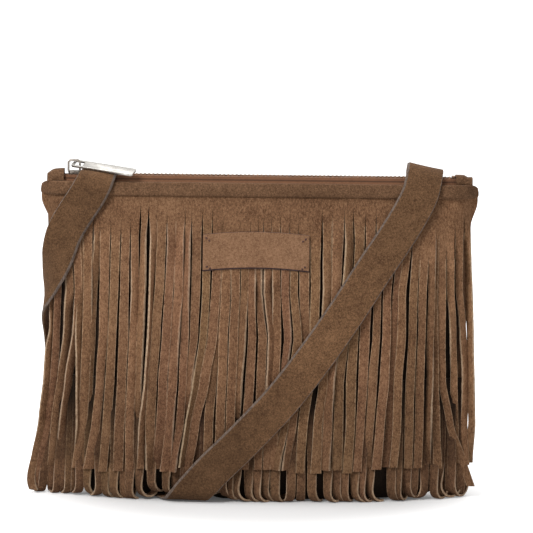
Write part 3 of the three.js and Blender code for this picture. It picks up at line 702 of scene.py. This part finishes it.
# The upper strips from left to right, in millimetres: the top of the slit on the strip's left, its
# lower end, how it hangs at each height in LEVELS (- in front, b behind its neighbours, t turned
# edge on), then its middle at each of them, and then the width that shows at each
LEVELS = (156, 126, 99, 72, 45, 23)
UPPER_STRIPS = [
    (170, 2, "------", -125.6, -125.5, -125.2, -126.7, -129.6, -133.6, 4.8, 5.4, 4.2, 4.2, 4.2, 4.6),
    (170, 3, "------", -120.2, -120.1, -121, -122.2, -125.6, -129.8, 4.8, 4.2, 4.2, 4.8, 4.2, 4.2),
    (171, 17, "------", -114.8, -113.4, -114.6, -117.6, -121.5, -123, 4.8, 4.5, 4.5, 5.1, 5.1, 5.7),
    (171, 20, "-----b", -109.1, -107.4, -109, -113.5, -117.1, -118.1, 5.4, 4.5, 4.2, 4.2, 3.6, 3.6),
    (171, 21, "bb-ttb", -107, -106.6, -107.5, -107.8, -107.8, -108.5, 3.6, 3.6, 3.6, 2.4, 1.8, 2.4),
    (170, 17, "------", -102.2, -101.2, -102.1, -103.2, -104.2, -107.4, 5.4, 4.8, 6, 5.7, 5.4, 5.7),
    (171, 19, "tbbbbb", -96.9, -99.1, -100, -101.2, -102.1, -104.3, 3.3, 3, 4.2, 3.6, 3.6, 3.6),
    (169, 17, "------", -91.7, -91.9, -92.2, -93.9, -96.4, -99.8, 6, 5.4, 5.4, 5.1, 5.4, 6.6),
    (169, 16, "------", -85.4, -86.1, -86.8, -88.3, -89.8, -91.5, 5.4, 5.1, 4.8, 5.4, 5.4, 5.1),
    (167, 17, "------", -79.5, -79.8, -80.1, -81.1, -82.3, -82.7, 5.1, 5.1, 5.7, 5.4, 6, 6),
    (169, 17, "------", -74.1, -73.9, -74.4, -75.3, -76, -75.9, 4.5, 4.2, 4.5, 5.1, 5.4, 5.1),
    (178, 19, "ttttbb", -68.4, -68.7, -69.6, -70.3, -71.8, -72.5, 2.7, 3.9, 3.9, 3, 1.8, 2.4),
    (177, 19, "--tt--", -63.2, -64.2, -65.2, -66.6, -69.1, -69.2, 3.6, 2.1, 1.8, 2.1, 3.6, 4.2),
    (178, 19, "------", -58.1, -59.2, -61, -62.5, -63.7, -64.5, 5.4, 5.4, 5.4, 5.4, 6, 3.9),
    (174, 19, "-----b", -52.4, -53.4, -54.7, -56.5, -57.1, -59.9, 4.8, 5.1, 5.4, 5.4, 6, 4.8),
    (175, 18, "------", -47, -47.5, -49, -50.5, -51.6, -54, 4.8, 5.4, 4.8, 5.4, 4.5, 6.3),
    (176, 18, "------", -42.2, -42.6, -43.6, -44.4, -46.3, -48.8, 3, 3.3, 4.8, 4.5, 4.8, 3.6),
    (174, 19, "----bb", -37.1, -37.3, -38.2, -40.2, -43, -45.5, 5.4, 5.4, 4.8, 3.3, 1.8, 2.4),
    (176, 21, "---ttt", -30.9, -31.2, -32.7, -37, -41.8, -44.9, 5.1, 4.5, 4.5, 3.6, 3, 3),
    (178, 17, "------", -24.9, -25.3, -27.3, -31.6, -37.3, -40.7, 5.1, 5.4, 5.7, 6, 5.4, 5.4),
    (167, 21, "bbbb--", -22.4, -23.2, -25.3, -26.8, -28.9, -29.4, 4.8, 4.8, 4.8, 4.8, 5.4, 5.7),
    (164, 22, "------", -19.4, -19.5, -20.5, -21.4, -22, -23.1, 4.8, 5.7, 5.4, 5.4, 5.4, 5.1),
    (164, 20, "------", -13.7, -13.8, -14.5, -15.4, -16, -16.7, 5.4, 5.1, 5.4, 5.4, 5.4, 6),
    (164, 20, "----bb", -8, -8.4, -9, -10.5, -11.4, -10.7, 4.8, 4.5, 3.9, 3.3, 2.1, 3.6),
    (167, 20, "------", -2.9, -3.6, -3.7, -4.6, -6.4, -7.4, 4.2, 3.9, 4.8, 5.4, 5.4, 5.4),
    (169, 20, "------", 1, 0.5, 2.7, 2, 1.4, 0.7, 2.4, 3, 5.1, 5.4, 5.4, 4.8),
    (170, 20, "------", 4.9, 5, 8, 6.8, 6.8, 6.1, 4.2, 4.2, 4.2, 3.6, 5.4, 4.8),
    (173, 20, "------", 10, 10.1, 11, 10.1, 10.1, 10.3, 4.8, 4.2, 5.4, 5.4, 4.8, 4.8),
    (176, 20, "----bb", 15.4, 15.8, 18, 15.5, 14, 11.8, 4.8, 4.8, 3.9, 3, 4.2, 4.2),
    (172, 20, "------", 20.8, 21, 23.7, 20.3, 16.1, 12.7, 4.8, 4.5, 5.1, 5.4, 4.8, 3.6),
    (170, 20, "--bb--", 26.5, 27, 27.5, 23.6, 20.9, 16.9, 5.4, 5.7, 3.6, 4.8, 4.8, 3.6),
    (164, 18, "------", 34, 33.8, 33.2, 30.2, 27, 26.1, 5.4, 5.4, 5.4, 6, 5.7, 5.1),
    (176, 18, "------", 40.5, 40.4, 39.8, 38.9, 35.9, 35.4, 5.1, 4.8, 5.4, 5.4, 5.4, 6.3),
    (177, 20, "------", 46.9, 46.1, 45.8, 43.7, 42, 41.5, 6.6, 5.4, 5.4, 4.2, 5.7, 4.8),
    (177, 20, "------", 53.2, 51.8, 50.9, 48.5, 48.3, 47.7, 4.2, 4.8, 4.8, 5.4, 5.7, 6.3),
    (178, 18, "------", 59.7, 58.7, 56.6, 55.4, 55.4, 54.3, 5.7, 5.4, 5.4, 6, 5.4, 5.7),
    (174, 19, "------", 66.4, 64.7, 63.5, 62.6, 61.5, 60.3, 5.4, 5.4, 6, 5.4, 5.1, 5.1),
    (176, 21, "-----b", 72.7, 70.8, 70.2, 68.3, 67.1, 65.5, 5.4, 4.5, 4.5, 5.4, 4.8, 4.8),
    (175, 20, "------", 78.7, 76.4, 76.5, 75.3, 73.4, 71.7, 5.4, 4.8, 5.1, 5.7, 5.4, 5.7),
    (173, 21, "-bbbbb", 83.8, 81.6, 81.2, 79.8, 78.9, 77.2, 3.6, 2.7, 3, 2.7, 3.9, 4.2),
    (173, 21, "------", 88.6, 85.5, 85.2, 83.7, 83.4, 81.7, 4.8, 4.5, 5.1, 5.1, 5.1, 4.8),
    (160, 20, "------", 93.7, 92.3, 92, 90.8, 90.8, 90.6, 4.2, 4.8, 4.8, 5.4, 5.4, 5.1),
    (157, 20, "------", 98.7, 97.7, 97.5, 96.9, 96.9, 96.3, 4.5, 4.8, 4.5, 5.1, 5.1, 5.1),
    (154, 22, "----tb", 103.5, 103.1, 102.8, 103.5, 103.1, 102.4, 3.9, 4.2, 4.2, 3.3, 3, 4.2),
    (168, 19, "bbb---", 105.4, 104.6, 105.2, 106.2, 107.3, 108.3, 3.6, 3.6, 4.2, 4.5, 4.8, 5.1),
    (168, 7, "------", 108.7, 109.1, 109.7, 110.4, 116, 123.6, 4.8, 4.8, 4.8, 4.5, 4.5, 4.8),
    (156, 21, "----bb", 114, 114.6, 116.1, 117.5, 118.7, 119.5, 4.5, 4.5, 3.3, 4.2, 4.8, 4.8),
    (168, 20, "------", 119.5, 119.9, 122.6, 124.4, 124.4, 125.5, 4.8, 4.2, 3.6, 3.6, 4.2, 4.8),
    (171, 21, "-----b", 124.9, 126.3, 127.8, 128.7, 129.5, 128.2, 3.6, 3.9, 3.3, 3.3, 3.6, 4.2),
]
HEADER_TOP, LAST_SLIT_TOP = 187.2, 172
ROW_STEP, COLUMNS = 2.6, 5
FREED = 26                                          # how far below its slit a strip hangs free


class Strips:
    """Strips of leather gathered into one piece."""

    def __init__(self):
        self.points, self.uvs, self.tones, self.warmths = [], [], [], []
        self.faces, self.kinds = [], []

    def add(self, rows, tones, warmths, bordered=None, left_from=0, right_from=0):
        """One strip from rows of front points and back points. Its cut sides start at the rows
        given, and bordered says how far the colour of its borders shows in each row."""
        start = len(self.points)
        for k, (front, back) in enumerate(rows):
            reach = bordered[k] if bordered else 1
            for line in (front, back):
                for j, point in enumerate(line):
                    self.points.append(point)
                    self.uvs.append((0.5 + (j / (COLUMNS - 1) - 0.5) * reach, k / 10))
                    self.tones.append(tones[k])
                    self.warmths.append(warmths[k])

        def quad(kind, *corners):
            self.faces.append(tuple(start + (2 * k + behind) * COLUMNS + j for k, j, behind in corners))
            self.kinds.append(kind)
        last, right = len(rows) - 1, COLUMNS - 1
        for k in range(last):
            for j in range(right):
                quad(0, (k, j, 0), (k + 1, j, 0), (k + 1, j + 1, 0), (k, j + 1, 0))
                quad(0, (k, j, 1), (k, j + 1, 1), (k + 1, j + 1, 1), (k + 1, j, 1))
        for k in range(last):
            if k >= left_from:
                quad(1, (k, 0, 0), (k, 0, 1), (k + 1, 0, 1), (k + 1, 0, 0))
            if k >= right_from:
                quad(1, (k, right, 0), (k + 1, right, 0), (k + 1, right, 1), (k, right, 1))
        for j in range(right):
            quad(1, (last, j, 0), (last, j, 1), (last, j + 1, 1), (last, j + 1, 0))
            quad(1, (0, j, 0), (0, j + 1, 0), (0, j + 1, 1), (0, j, 1))

    def sewn(self, name, suede_face, node, merge=None):
        """All the strips as one piece of suede."""
        fringe = piece(name, self.points, self.faces, [suede_face, fringe_edge], self.uvs, self.kinds,
                       tone=self.tones, warmth=self.warmths)
        if merge:
            face_out(fringe, merge)
        smooth(fringe, 50)
        belongs(fringe, node)
        return fringe


def drawn(line, z):
    """A value read off a line of (height, value) pairs that runs downwards, eased between them."""
    if z >= line[0][0]:
        return line[0][1]
    for (z0, a), (z1, b) in zip(line, line[1:]):
        if z >= z1:
            return a + (b - a) * (0.35 * ease((z0 - z) / (z0 - z1)) + 0.65 * (z0 - z) / (z0 - z1))
    (z0, a), (z1, b) = line[-2:]
    return b + (b - a) * min(1.2, (z1 - z) / (z0 - z1))


def strip_side(line, top, shared, z):
    """A strip's side: shared with its neighbour down to the slit's top, then its own line."""
    if z >= top:
        return shared
    return drawn([(top, shared)] + [p for p in line if p[0] < top - 10], z)


def cut_from(levels, slit_top):
    """The row where a strip's side starts to be cut, one above the slit's own top."""
    return max(0, next(k for k, z in enumerate(levels) if z < slit_top) - 1)


def under_label(x, y, z):
    """Keeps the strips flat beneath the label patch."""
    aside = max(abs(x + 1.8) - 32.5, abs(z - 149.5) - 12, 0)
    return max(y, curtain(x, z) - 2.15 - aside * 0.5)


def slit_places(strips):
    """Where each strip meets the next along the header, from one end of the bag to the other."""
    bounds = [-WIDTH / 2 + 0.9]
    for a, b in zip(strips, strips[1:]):
        bounds.append(((a[2][0] + a[3][0] / 2) + (b[2][0] - b[3][0] / 2)) / 2)
    bounds.append(WIDTH / 2 - 0.9)
    for i in range(1, len(bounds) - 1):
        bounds[i] = max(bounds[i], bounds[i - 1] + 2.6)
    return bounds


def upper_fringe():
    """One piece of suede, whole along its top and cut into strips that hang, lean, turn and overlap."""
    chance = random.Random(11)
    strips = [(end, flags, numbers[:6], numbers[6:], min(6.3, max(5.2, max(numbers[6:]))))
              for _, end, flags, *numbers in UPPER_STRIPS]
    bounds = slit_places(strips)
    tops = [row[0] for row in UPPER_STRIPS] + [LAST_SLIT_TOP]
    gathered = Strips()
    for n, (end, flags, middles, widths, full) in enumerate(strips):
        first, last = n == 0, n == len(strips) - 1
        left_top, right_top = tops[n], tops[n + 1]
        both_cut = min(left_top, right_top)
        turn_way = chance.choice((-1, 1))
        own = 0.55 * chance.random()
        bow = chance.uniform(-1, 1)
        lefts, rights, backs, turns = [], [], [], []
        for level, kind, middle, width in zip(LEVELS, flags, middles, widths):
            wide, angle = width, 0.0
            if kind == "b":
                wide = full * 0.95
                middle += 0.35 * (full - width) * (1 if chance.random() < 0.5 else -1)
            elif kind == "t" or width < 0.8 * full:
                angle = turn_way * math.acos(min(1, max(0.3, width / full)))
            lefts.append((level, middle - wide / 2))
            rights.append((level, middle + wide / 2))
            backs.append((level, 1.0 if kind == "b" else 0.0))
            turns.append((level, angle))
        behinds = [(176, 0.0)] + [b for b in backs if b[0] < 170]
        leans = [(172, 0.0)] + [t for t in turns if t[0] < 165]
        levels, height = [], HEADER_TOP
        while height > end + ROW_STEP / 2:
            levels.append(height)
            height -= ROW_STEP
        levels.append(end)
        base_tone = 1 + chance.uniform(-0.075, 0.075)
        own_warmth = 0.011 * wander(n * 4.7, 2.2)
        rows, tones, warmths = [], [], []
        for z in levels:
            left = strip_side(lefts, left_top, bounds[n], z)
            right = strip_side(rights, right_top, bounds[n + 1], z)
            ear = 4.0 * ease((z - 164) / 15)
            if first:
                left -= ear - max(0, -125.6 - left) * ease((z - 88) / 14) * ease((178 - z) / 14)
            if last and z > 165:
                right += ear
            behind = ease(drawn(behinds, z))
            leaning = drawn(leans, z)
            leaning += 0.16 * wander(z / 30, n * 3.7)
            overlap = 1.15 + 1.1 * ease((110 - z) / 36)
            lift = 0.35 + own + 0.5 * wander(z / 48, n * 5.3, 2)
            sway = 0.32 * wander(z / 22, n * 9.1, 4)
            cup = 0.5 + 0.45 * bow
            front, back = [], []
            for j in range(COLUMNS):
                part = j / (COLUMNS - 1)
                s = part * 2 - 1
                free = ease((left_top + (right_top - left_top) * part - z) / FREED)
                x = left + (right - left) * part + sway * free
                x += 0.13 * wander(z / 1.9, n * 2.1 + s) * free * (abs(s) == 1)
                if n < 2:
                    x += 7 * quarter_round((15 - z) / 15)
                angle = leaning * free
                reach = full / 2 * math.sin(angle)
                y = curtain((left + right) / 2, z) * free + curtain(x, z) * (1 - free)
                y -= 0.67 + lift * free + overlap * (1 - behind * free) * ease((178 - z) / 40)
                y -= abs(reach) * 0.75 - reach * s - cup * s * s * free
                y = under_label(x, under_strap(x, y, z), z)
                back.append((x, y, z))
                front.append((x + math.sin(angle) * SHEET, y - math.cos(angle) * SHEET, z))
            rows.append((front, back))
            free = ease((both_cut - z) / FREED)
            # painted shade in the tone: darker lower down and where a strip hangs behind its neighbours,
            # also darker near the top and lighter at the far right; base_tone is the strip's own random
            # tone
            shade = 0.985 - 0.05 * ease((130 - z) / 40) - 0.2 * ease((95 - z) / 75)
            shade -= 0.09 * ease((z - 152) / 16)
            shade *= (1 + (base_tone - 1) * free) * (1 - 0.2 * behind)
            tones.append(shade * (1 + 0.17 * ease((middles[2] - 108) / 10)))
            warmths.append(own_warmth * free)
        left_from = 0 if first else cut_from(levels, left_top)
        right_from = 0 if last else cut_from(levels, right_top)
        bordered = [ease((both_cut - 1 - z) / 9) for z in levels]
        gathered.add(rows, tones, warmths, bordered, left_from, right_from)
    fringe = gathered.sewn("upper_fringe_strips", fringe_suede, "upper_fringe", merge=0.001)


upper_fringe()


def curling_path(top, radius, curl):
    """How one lower strip runs: (distance back, height, angle turned) down to the floor and round."""
    path, z = [], top
    while z > radius + 3:
        path.append((0.0, z, 0.0))
        z -= 3
    steps = 12
    for k in range(steps + 1):
        angle = curl * k / steps
        opening = 0.6 * (angle - math.pi / 2) ** 2 if angle > math.pi / 2 else 0
        path.append((radius * (1 - math.cos(angle)),
                     SHEET + 0.1 + radius * (1 - math.sin(angle)) + opening, angle))
    return path


def lower_fringe():
    """The shorter tier beneath: its strips reach the floor and curl back under the bag in loops."""
    chance = random.Random(29)
    top, pitch = 73, 5.3
    places = [(n - 23) * pitch for n in range(47)]
    left_out = (places[12], places[26], places[30], places[37])
    filling = [-119.5, -113.6, -108, 108.5, 114.5, 119.5]
    gathered = Strips()
    for n, middle in enumerate(places + filling):
        if middle in left_out:
            continue
        full = chance.uniform(4.9, 5.7)
        outermost = max(0, 1 - (middle + 127) / 22)
        lean = chance.uniform(-1.6, 1.6) - 9 * outermost
        yaw = chance.uniform(0.35, 0.95) if chance.random() < 0.85 else chance.uniform(-0.7, 0.1)
        yaw = yaw if outermost == 0 else -0.35
        radius = chance.uniform(4.2, 8)
        off_floor = 2.6 * max(0, wander(middle / 17, 6.3)) * (abs(middle) < 118)
        curl = math.radians(chance.choice((95, 105, 120, 150, 165)))
        if middle > 85:
            curl = math.radians(chance.choice((150, 170, 180)))
        forward = 0.5 * chance.random() + 0.25 + (1.1 if n % 2 else 0)
        if n >= len(places):
            forward, yaw = -0.1, chance.uniform(-0.3, 0.3)
        tone = 1 + chance.uniform(-0.09, 0.09)
        rows, tones = [], []
        for back_in, z, angle in curling_path(top, radius, curl):
            turn = yaw * ease((24 - z) / 17)
            heading = Vector((math.sin(turn), math.cos(turn), 0))
            side = Vector((math.cos(turn), -math.sin(turn), 0))
            out = Vector((-heading.x * math.cos(angle), -heading.y * math.cos(angle), -math.sin(angle)))
            x = middle + lean * ease((66 - z) / 66) ** 1.3
            lift = strap_lift(x, curtain(middle, z)) * max(0, 1 - z / HEEL)
            lift += off_floor * ease((50 - z) / 40)
            y = curtain(max(-120, min(120, middle)), z) - forward * ease((72 - z) / 30) - 0.3
            base = Vector((x, y - abs(math.sin(turn)) * full * 0.42, z + lift)) + heading * back_in
            front, back = [], []
            for j in range(COLUMNS):
                s = j / (COLUMNS - 1) * 2 - 1
                point = base + side * s * full / 2 + out * 0.25 * (1 - s * s)
                if angle < 0.3:
                    point.y = under_strap(point.x, point.y, point.z)
                face = point + out * SHEET
                back.append((point.x, point.y, max(0.05, point.z)))
                front.append((face.x, face.y, max(0.02, face.z)))
            rows.append((front, back))
            # painted shade in the tone: the lower strips are darker higher up, where the upper strips
            # hang over them
            tones.append(tone * (1 - 0.35 * ease((z - 17) / 8) - 0.55 * ease((z - 30) / 34)))
        gathered.add(rows, tones, [0.011 * wander(n * 3.9, 7.1)] * len(rows))
    fringe = gathered.sewn("lower_fringe_strips", loop_suede_painted_dark, "lower_fringe")


lower_fringe()


# ---------------------------------------------------------------- sewing thread

def stitch(place, along, length, radius):
    """One short thread, thick in the middle and sinking in at both ends."""
    bpy.ops.object.select_all(action="DESELECT")
    bpy.ops.mesh.primitive_uv_sphere_add(segments=8, ring_count=5, radius=1)
    thread_piece = bpy.context.object
    turn = along.to_track_quat("X", "Z").to_matrix()
    for vertex in thread_piece.data.vertices:
        local = Vector((vertex.co.x * length / 2, vertex.co.y * radius, vertex.co.z * radius))
        vertex.co = (Vector(place) + turn @ local) * MM
    return thread_piece


def sew(stitches, name, material):
    """Joins a run of stitches into one piece."""
    run = joined(stitches[1:] + stitches[:1], name)
    run.data.materials.clear()
    run.data.materials.append(material)
    smooth(run, 80)
    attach(run, "bag")


def strap_stitching():
    """A sewn rectangle holds each end of the strap to the back."""
    stitches = []
    length, radius, above = 1.9, 0.28, 1.0
    for end in (strap_line[:16], strap_line[-16:][::-1]):
        inner = [s for s in end if 1.5 <= (s[0] - end[0][0]).length <= 13]
        along = (end[2][0] - end[0][0]).normalized()
        for centre, across, out in inner:
            for s in (-0.78, 0.78):
                stitches.append(stitch(centre + across * s * 11 + out * above, along, length, radius))
        for centre, across, out in (inner[0], inner[-1]):
            for k in range(-3, 4):
                stitches.append(stitch(centre + across * k * 2.5 + out * above, across.normalized(),
                                       length, radius))
    sew(stitches, "strap_end_stitches", brown_thread)


# ---------------------------------------------------------------- label patch

def label():
    """A blank patch of smoother leather, bowed up a little, with two small stitches in each corner."""
    wide, high, roll = 63.5, 21.7, 0.9
    centre_x, centre_z, bow = -1.8, 148.3, 1.9
    stand = 3.5

    def place(x, z, lift):
        u = x / (wide / 2)
        here = centre_x + x
        level = centre_z + z + (1 - u * u) * bow
        warp = 0.35 * wander(x / 22, z / 14, 8) + 0.5 * (z / high) ** 2
        rolled = 1 - 0.75 * ease((roll - z - high / 2) / roll) * (lift > 0.1)
        return (here, curtain(here, level) - stand - warp - lift * rolled, level)
    patch = block("label", (wide, LABEL, high), (30, 0, 23), label_suede)
    patch.data.materials.append(label_edge)
    for face in patch.data.polygons:
        low = face.center.z / MM < roll - high / 2
        face.material_index = 0 if abs(face.normal.y) > 0.5 and not low else 1
    shaped(patch, lambda x, y, z: place(x, z, LABEL / 2 - y))
    softened(patch, 0.3, 2)
    belongs(patch, "label_patch")
    spots = [(-29.6, 8.6, 0.7), (-27.9, 6.9, 0.7), (-29.2, -8.2, -0.6), (-27.3, -9.4, -0.6),
             (29.4, 8.4, -0.7), (27.8, 7.0, -0.7), (29.2, -8.0, 0.6), (27.6, -9.2, 0.6)]
    sew([stitch(place(x, z, LABEL + 0.05), Vector((math.cos(lean), 0, -math.sin(lean))), 1.5, 0.55)
         for x, z, lean in spots], "label_stitches", dark_thread)


label()
strap_stitching()


# ---------------------------------------------------------------- zip

CHAIN_Z, CHAIN_START, CHAIN_END, PITCH = 192.4, -110.9, 114.5, 2.5
TAPE_END, TAPE_HEM, TAPE, TAPE_INSET = 121, 178, 0.7, 2.2


def zip_tape(name, side, node):
    """Woven tape: it stands inside the wall, leans in over the rim and lies flat beside the teeth."""
    stations, inner_edge = 120, 2.9

    def surface(face):
        def at(i, j):
            x = -TAPE_END + 2 * TAPE_END * i / stations
            wall = TAPE_INSET + (0 if face > 0 else TAPE)
            flat = min(5.8, depth_at(x, HEIGHT, TAPE_INSET + TAPE) - 0.4)
            top = CHAIN_Z + TAPE / 2 * face
            key_y = [depth_at(x, TAPE_HEM, wall), depth_at(x, HEIGHT, wall), flat + face * 0.2,
                     inner_edge]
            key_z = [TAPE_HEM, HEIGHT + face * 0.2, top, top]
            part = j / 4
            k = min(2, int(part))
            w = part - k
            y = key_y[k] + (key_y[k + 1] - key_y[k]) * w
            z = key_z[k] + (key_z[k + 1] - key_z[k]) * w
            z += 0.12 * wander(x / 7, j * 0.7, side * 2) * (j > 5)
            return (x, side * ((SEAM_GAP if k < 1 else 0) + y), z)
        return at
    points, faces, uvs = closed_sheet(stations, 12, surface(1), surface(-1))
    tape = piece(name, points, faces, [tape_cloth], uvs)
    face_out(tape)
    smooth(tape, 50)
    belongs(tape, node)


zip_tape("tape_front", -1, "zip_tape_front")
zip_tape("tape_back", 1, "zip_tape_back")


def one_tooth():
    """A tooth clamped on the cord: a block with a narrowed nose and softened edges."""
    tooth = block("tooth", (1.25, 3.35, 2.35), (0, 2, 0), dark_metal, centre=(0, 0.93, 0))

    def lay(x, y, z):
        nose = 1 - 0.28 * ease((0.5 - y) / 1.2)
        return (x * nose, y, z * (0.8 + 0.2 * ease((y + 0.4) / 1.2)))
    shaped(tooth, lay)
    bevelled(tooth, 0.22, 1, 50)
    return tooth


def tooth_row(name, side, node):
    """The row: one tooth copied along the tape's corded edge."""
    end_gap = 0.67
    first = CHAIN_START + end_gap + (PITCH / 2 if side > 0 else 0)
    number = int((CHAIN_END - first - end_gap) / PITCH) + 1
    pattern = one_tooth()
    teeth = []
    for i in range(number):
        mesh = pattern.data.copy()
        for vertex in mesh.vertices:
            vertex.co.x += (first + i * PITCH) * MM
            vertex.co.y *= side
            vertex.co.z += CHAIN_Z * MM
        teeth.append(add_object("tooth_copy", mesh))
    bpy.data.objects.remove(pattern)
    bpy.ops.object.select_all(action="DESELECT")
    centre = ((CHAIN_START + CHAIN_END) / 2 * MM, side * 1.85 * MM, CHAIN_Z * MM)
    bpy.ops.mesh.primitive_cylinder_add(vertices=12, radius=0.72 * MM,
                                        depth=(CHAIN_END - CHAIN_START) * MM,
                                        location=centre, rotation=(0, math.pi / 2, 0))
    cord = bpy.context.object
    bpy.ops.object.transform_apply(location=True, rotation=True, scale=True)
    cord.data.materials.append(dark_metal)
    cord.data.materials.append(tape_cloth)
    for face in cord.data.polygons:
        face.material_index = 1
    row = joined(teeth + [cord], name)
    face_out(row)
    smooth(row, 35)
    belongs(row, node)


tooth_row("teeth_front", -1, "zip_teeth_front")
tooth_row("teeth_back", 1, "zip_teeth_back")


def metal_piece(node, name, width, segments, material, body="bag"):
    """The model's own solid with its loose faces sewn together and its edges softened."""
    part = add_object(name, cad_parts[node].data.copy())
    mesh = part.data
    mesh.name = name
    bm = bmesh.new()
    bm.from_mesh(mesh)
    bmesh.ops.remove_doubles(bm, verts=bm.verts, dist=1e-6)
    bmesh.ops.dissolve_limit(bm, angle_limit=math.radians(2), verts=bm.verts, edges=bm.edges)
    bm.to_mesh(mesh)
    bm.free()
    mesh.materials.clear()
    mesh.materials.append(material)
    bevelled(part, width, segments, 30)
    smooth(part, 35)
    belongs(part, node, body)


metal_piece("zip_top_stop_front", "top_stop_front", 0.25, 2, dark_metal)
metal_piece("zip_top_stop_back", "top_stop_back", 0.25, 2, dark_metal)
metal_piece("zip_bottom_stop", "bottom_stop", 0.3, 2, dark_metal)
metal_piece("zip_slider", "slider_body", 0.16, 2, slider_metal, "slider")
metal_piece("zip_pull", "pull_tab", 0.32, 3, nickel, "pull")


def end_tab(name, direction, node):
    """A doubled piece of suede folded over one end of the zip, rounded at its free edge."""
    length, thick, over_tape = 10, 2.6, 3.8
    tab = block(name, (length, 2, thick), (12, 24, 2), band_suede)
    inner = direction * (TAPE_END - over_tape)
    worn = 0.5 if direction > 0 else 1

    def lay(x, y, z):
        part = x / length + 0.5
        here = inner + direction * length * part
        lift = z + thick / 2
        station = direction * min(direction * here, TAPE_END)
        half = max(depth_at(station, HEIGHT, WALL) + 1.8, 3.6) + lift * 0.25
        shoulder = 1 - abs(y) ** 8
        low = BAND_TOP + 0.3 - 2.6 * quarter_round((abs(here) - ROUND_FROM) / ROUND_REACH)
        high = CHAIN_Z + 0.95 + lift * worn
        droop = lift * 0.5 * part ** 3
        droop += 1.6 * max(0, (part - 0.45) / 0.55) ** 2 * lift / thick / worn
        crown = 0.15 * wander(here / 3, y * 3, direction) * (lift > 2)
        return (here, half * y, low + (high - low) * shoulder - droop * shoulder + crown * shoulder)
    shaped(tab, lay)
    face_out(tab)
    softened(tab, 0.45, 3)
    belongs(tab, node)


end_tab("tab_left", -1, "zip_tab_left")
end_tab("tab_right", 1, "zip_tab_right")


# ---------------------------------------------------------------- floor, lamps and world

def seen_directly(tree):
    """1 for rays from the camera and for those that mirrors and glass send on, and 0 for others."""
    path = add_node(tree, "LightPath", {}).outputs
    total = path["Is Camera Ray"]
    for other in ("Is Glossy Ray", "Is Transmission Ray"):
        total = add_node(tree, "Math", {0: total, 1: path[other]}, operation="MAXIMUM").outputs[0]
    return total


def pale_floor():
    """A plain pale floor that keeps a soft shadow near the bag and is white further off."""
    paper = Finish("pale_floor", 1, gloss=0)
    paper.surface["Base Color"].default_value = (0.78, 0.78, 0.78, 1)
    paper.surface["Emission Color"].default_value = (1, 1, 1, 1)
    away = paper.node("VectorMath", {0: paper.coords["Object"]}, operation="LENGTH").outputs["Value"]
    near, far, near_glow, far_glow = 0.075, 0.21, 0.06, 1.0
    whiter = paper.node("MapRange", {0: away, 1: near, 2: far, 3: near_glow, 4: far_glow},
                        interpolation_type="SMOOTHSTEP").outputs[0]
    glow = paper.maths("MULTIPLY", seen_directly(paper.tree), whiter)
    paper.link(glow, paper.surface["Emission Strength"])
    floor = block("floor", (30000, 30000, 10), (0, 0, 0), paper.material, centre=(0, 5000, -5))


def white_surround():
    """White where it is looked at, and dimmer as a source of light."""
    world = bpy.data.worlds.new("surround")
    scene.world = world
    world.use_nodes = True
    tree = world.node_tree
    background = tree.nodes["Background"].inputs
    background["Color"].default_value = (1, 1, 1, 1)
    extra, least = 0.68, 0.32
    strength = add_node(tree, "Math", {0: seen_directly(tree), 1: extra, 2: least},
                        operation="MULTIPLY_ADD")
    tree.links.new(strength.outputs[0], background["Strength"])


def lamps():
    """Soft square lamps, each with its place, its size in metres and its watts."""
    for name, place, size, watts in (("key", (-0.8, -1.15, 1.35), 0.6, 21),
                                     ("fill", (1.2, -1.9, 0.7), 1.6, 4),
                                     ("top", (-0.1, 0.1, 1.5), 1.0, 11),
                                     ("behind", (0.7, 1.7, 0.9), 1.6, 9)):
        lamp = add_object(name, bpy.data.lights.new(name, "AREA"))
        lamp.data.shape = "SQUARE"
        lamp.data.size = size
        lamp.data.energy = watts
        lamp.location = place
        lamp.rotation_euler = (Vector((0, 0, 0.1)) - Vector(place)).to_track_quat("-Z", "Y").to_euler()


pale_floor()
white_surround()
lamps()
scene.view_settings.view_transform = "Standard"
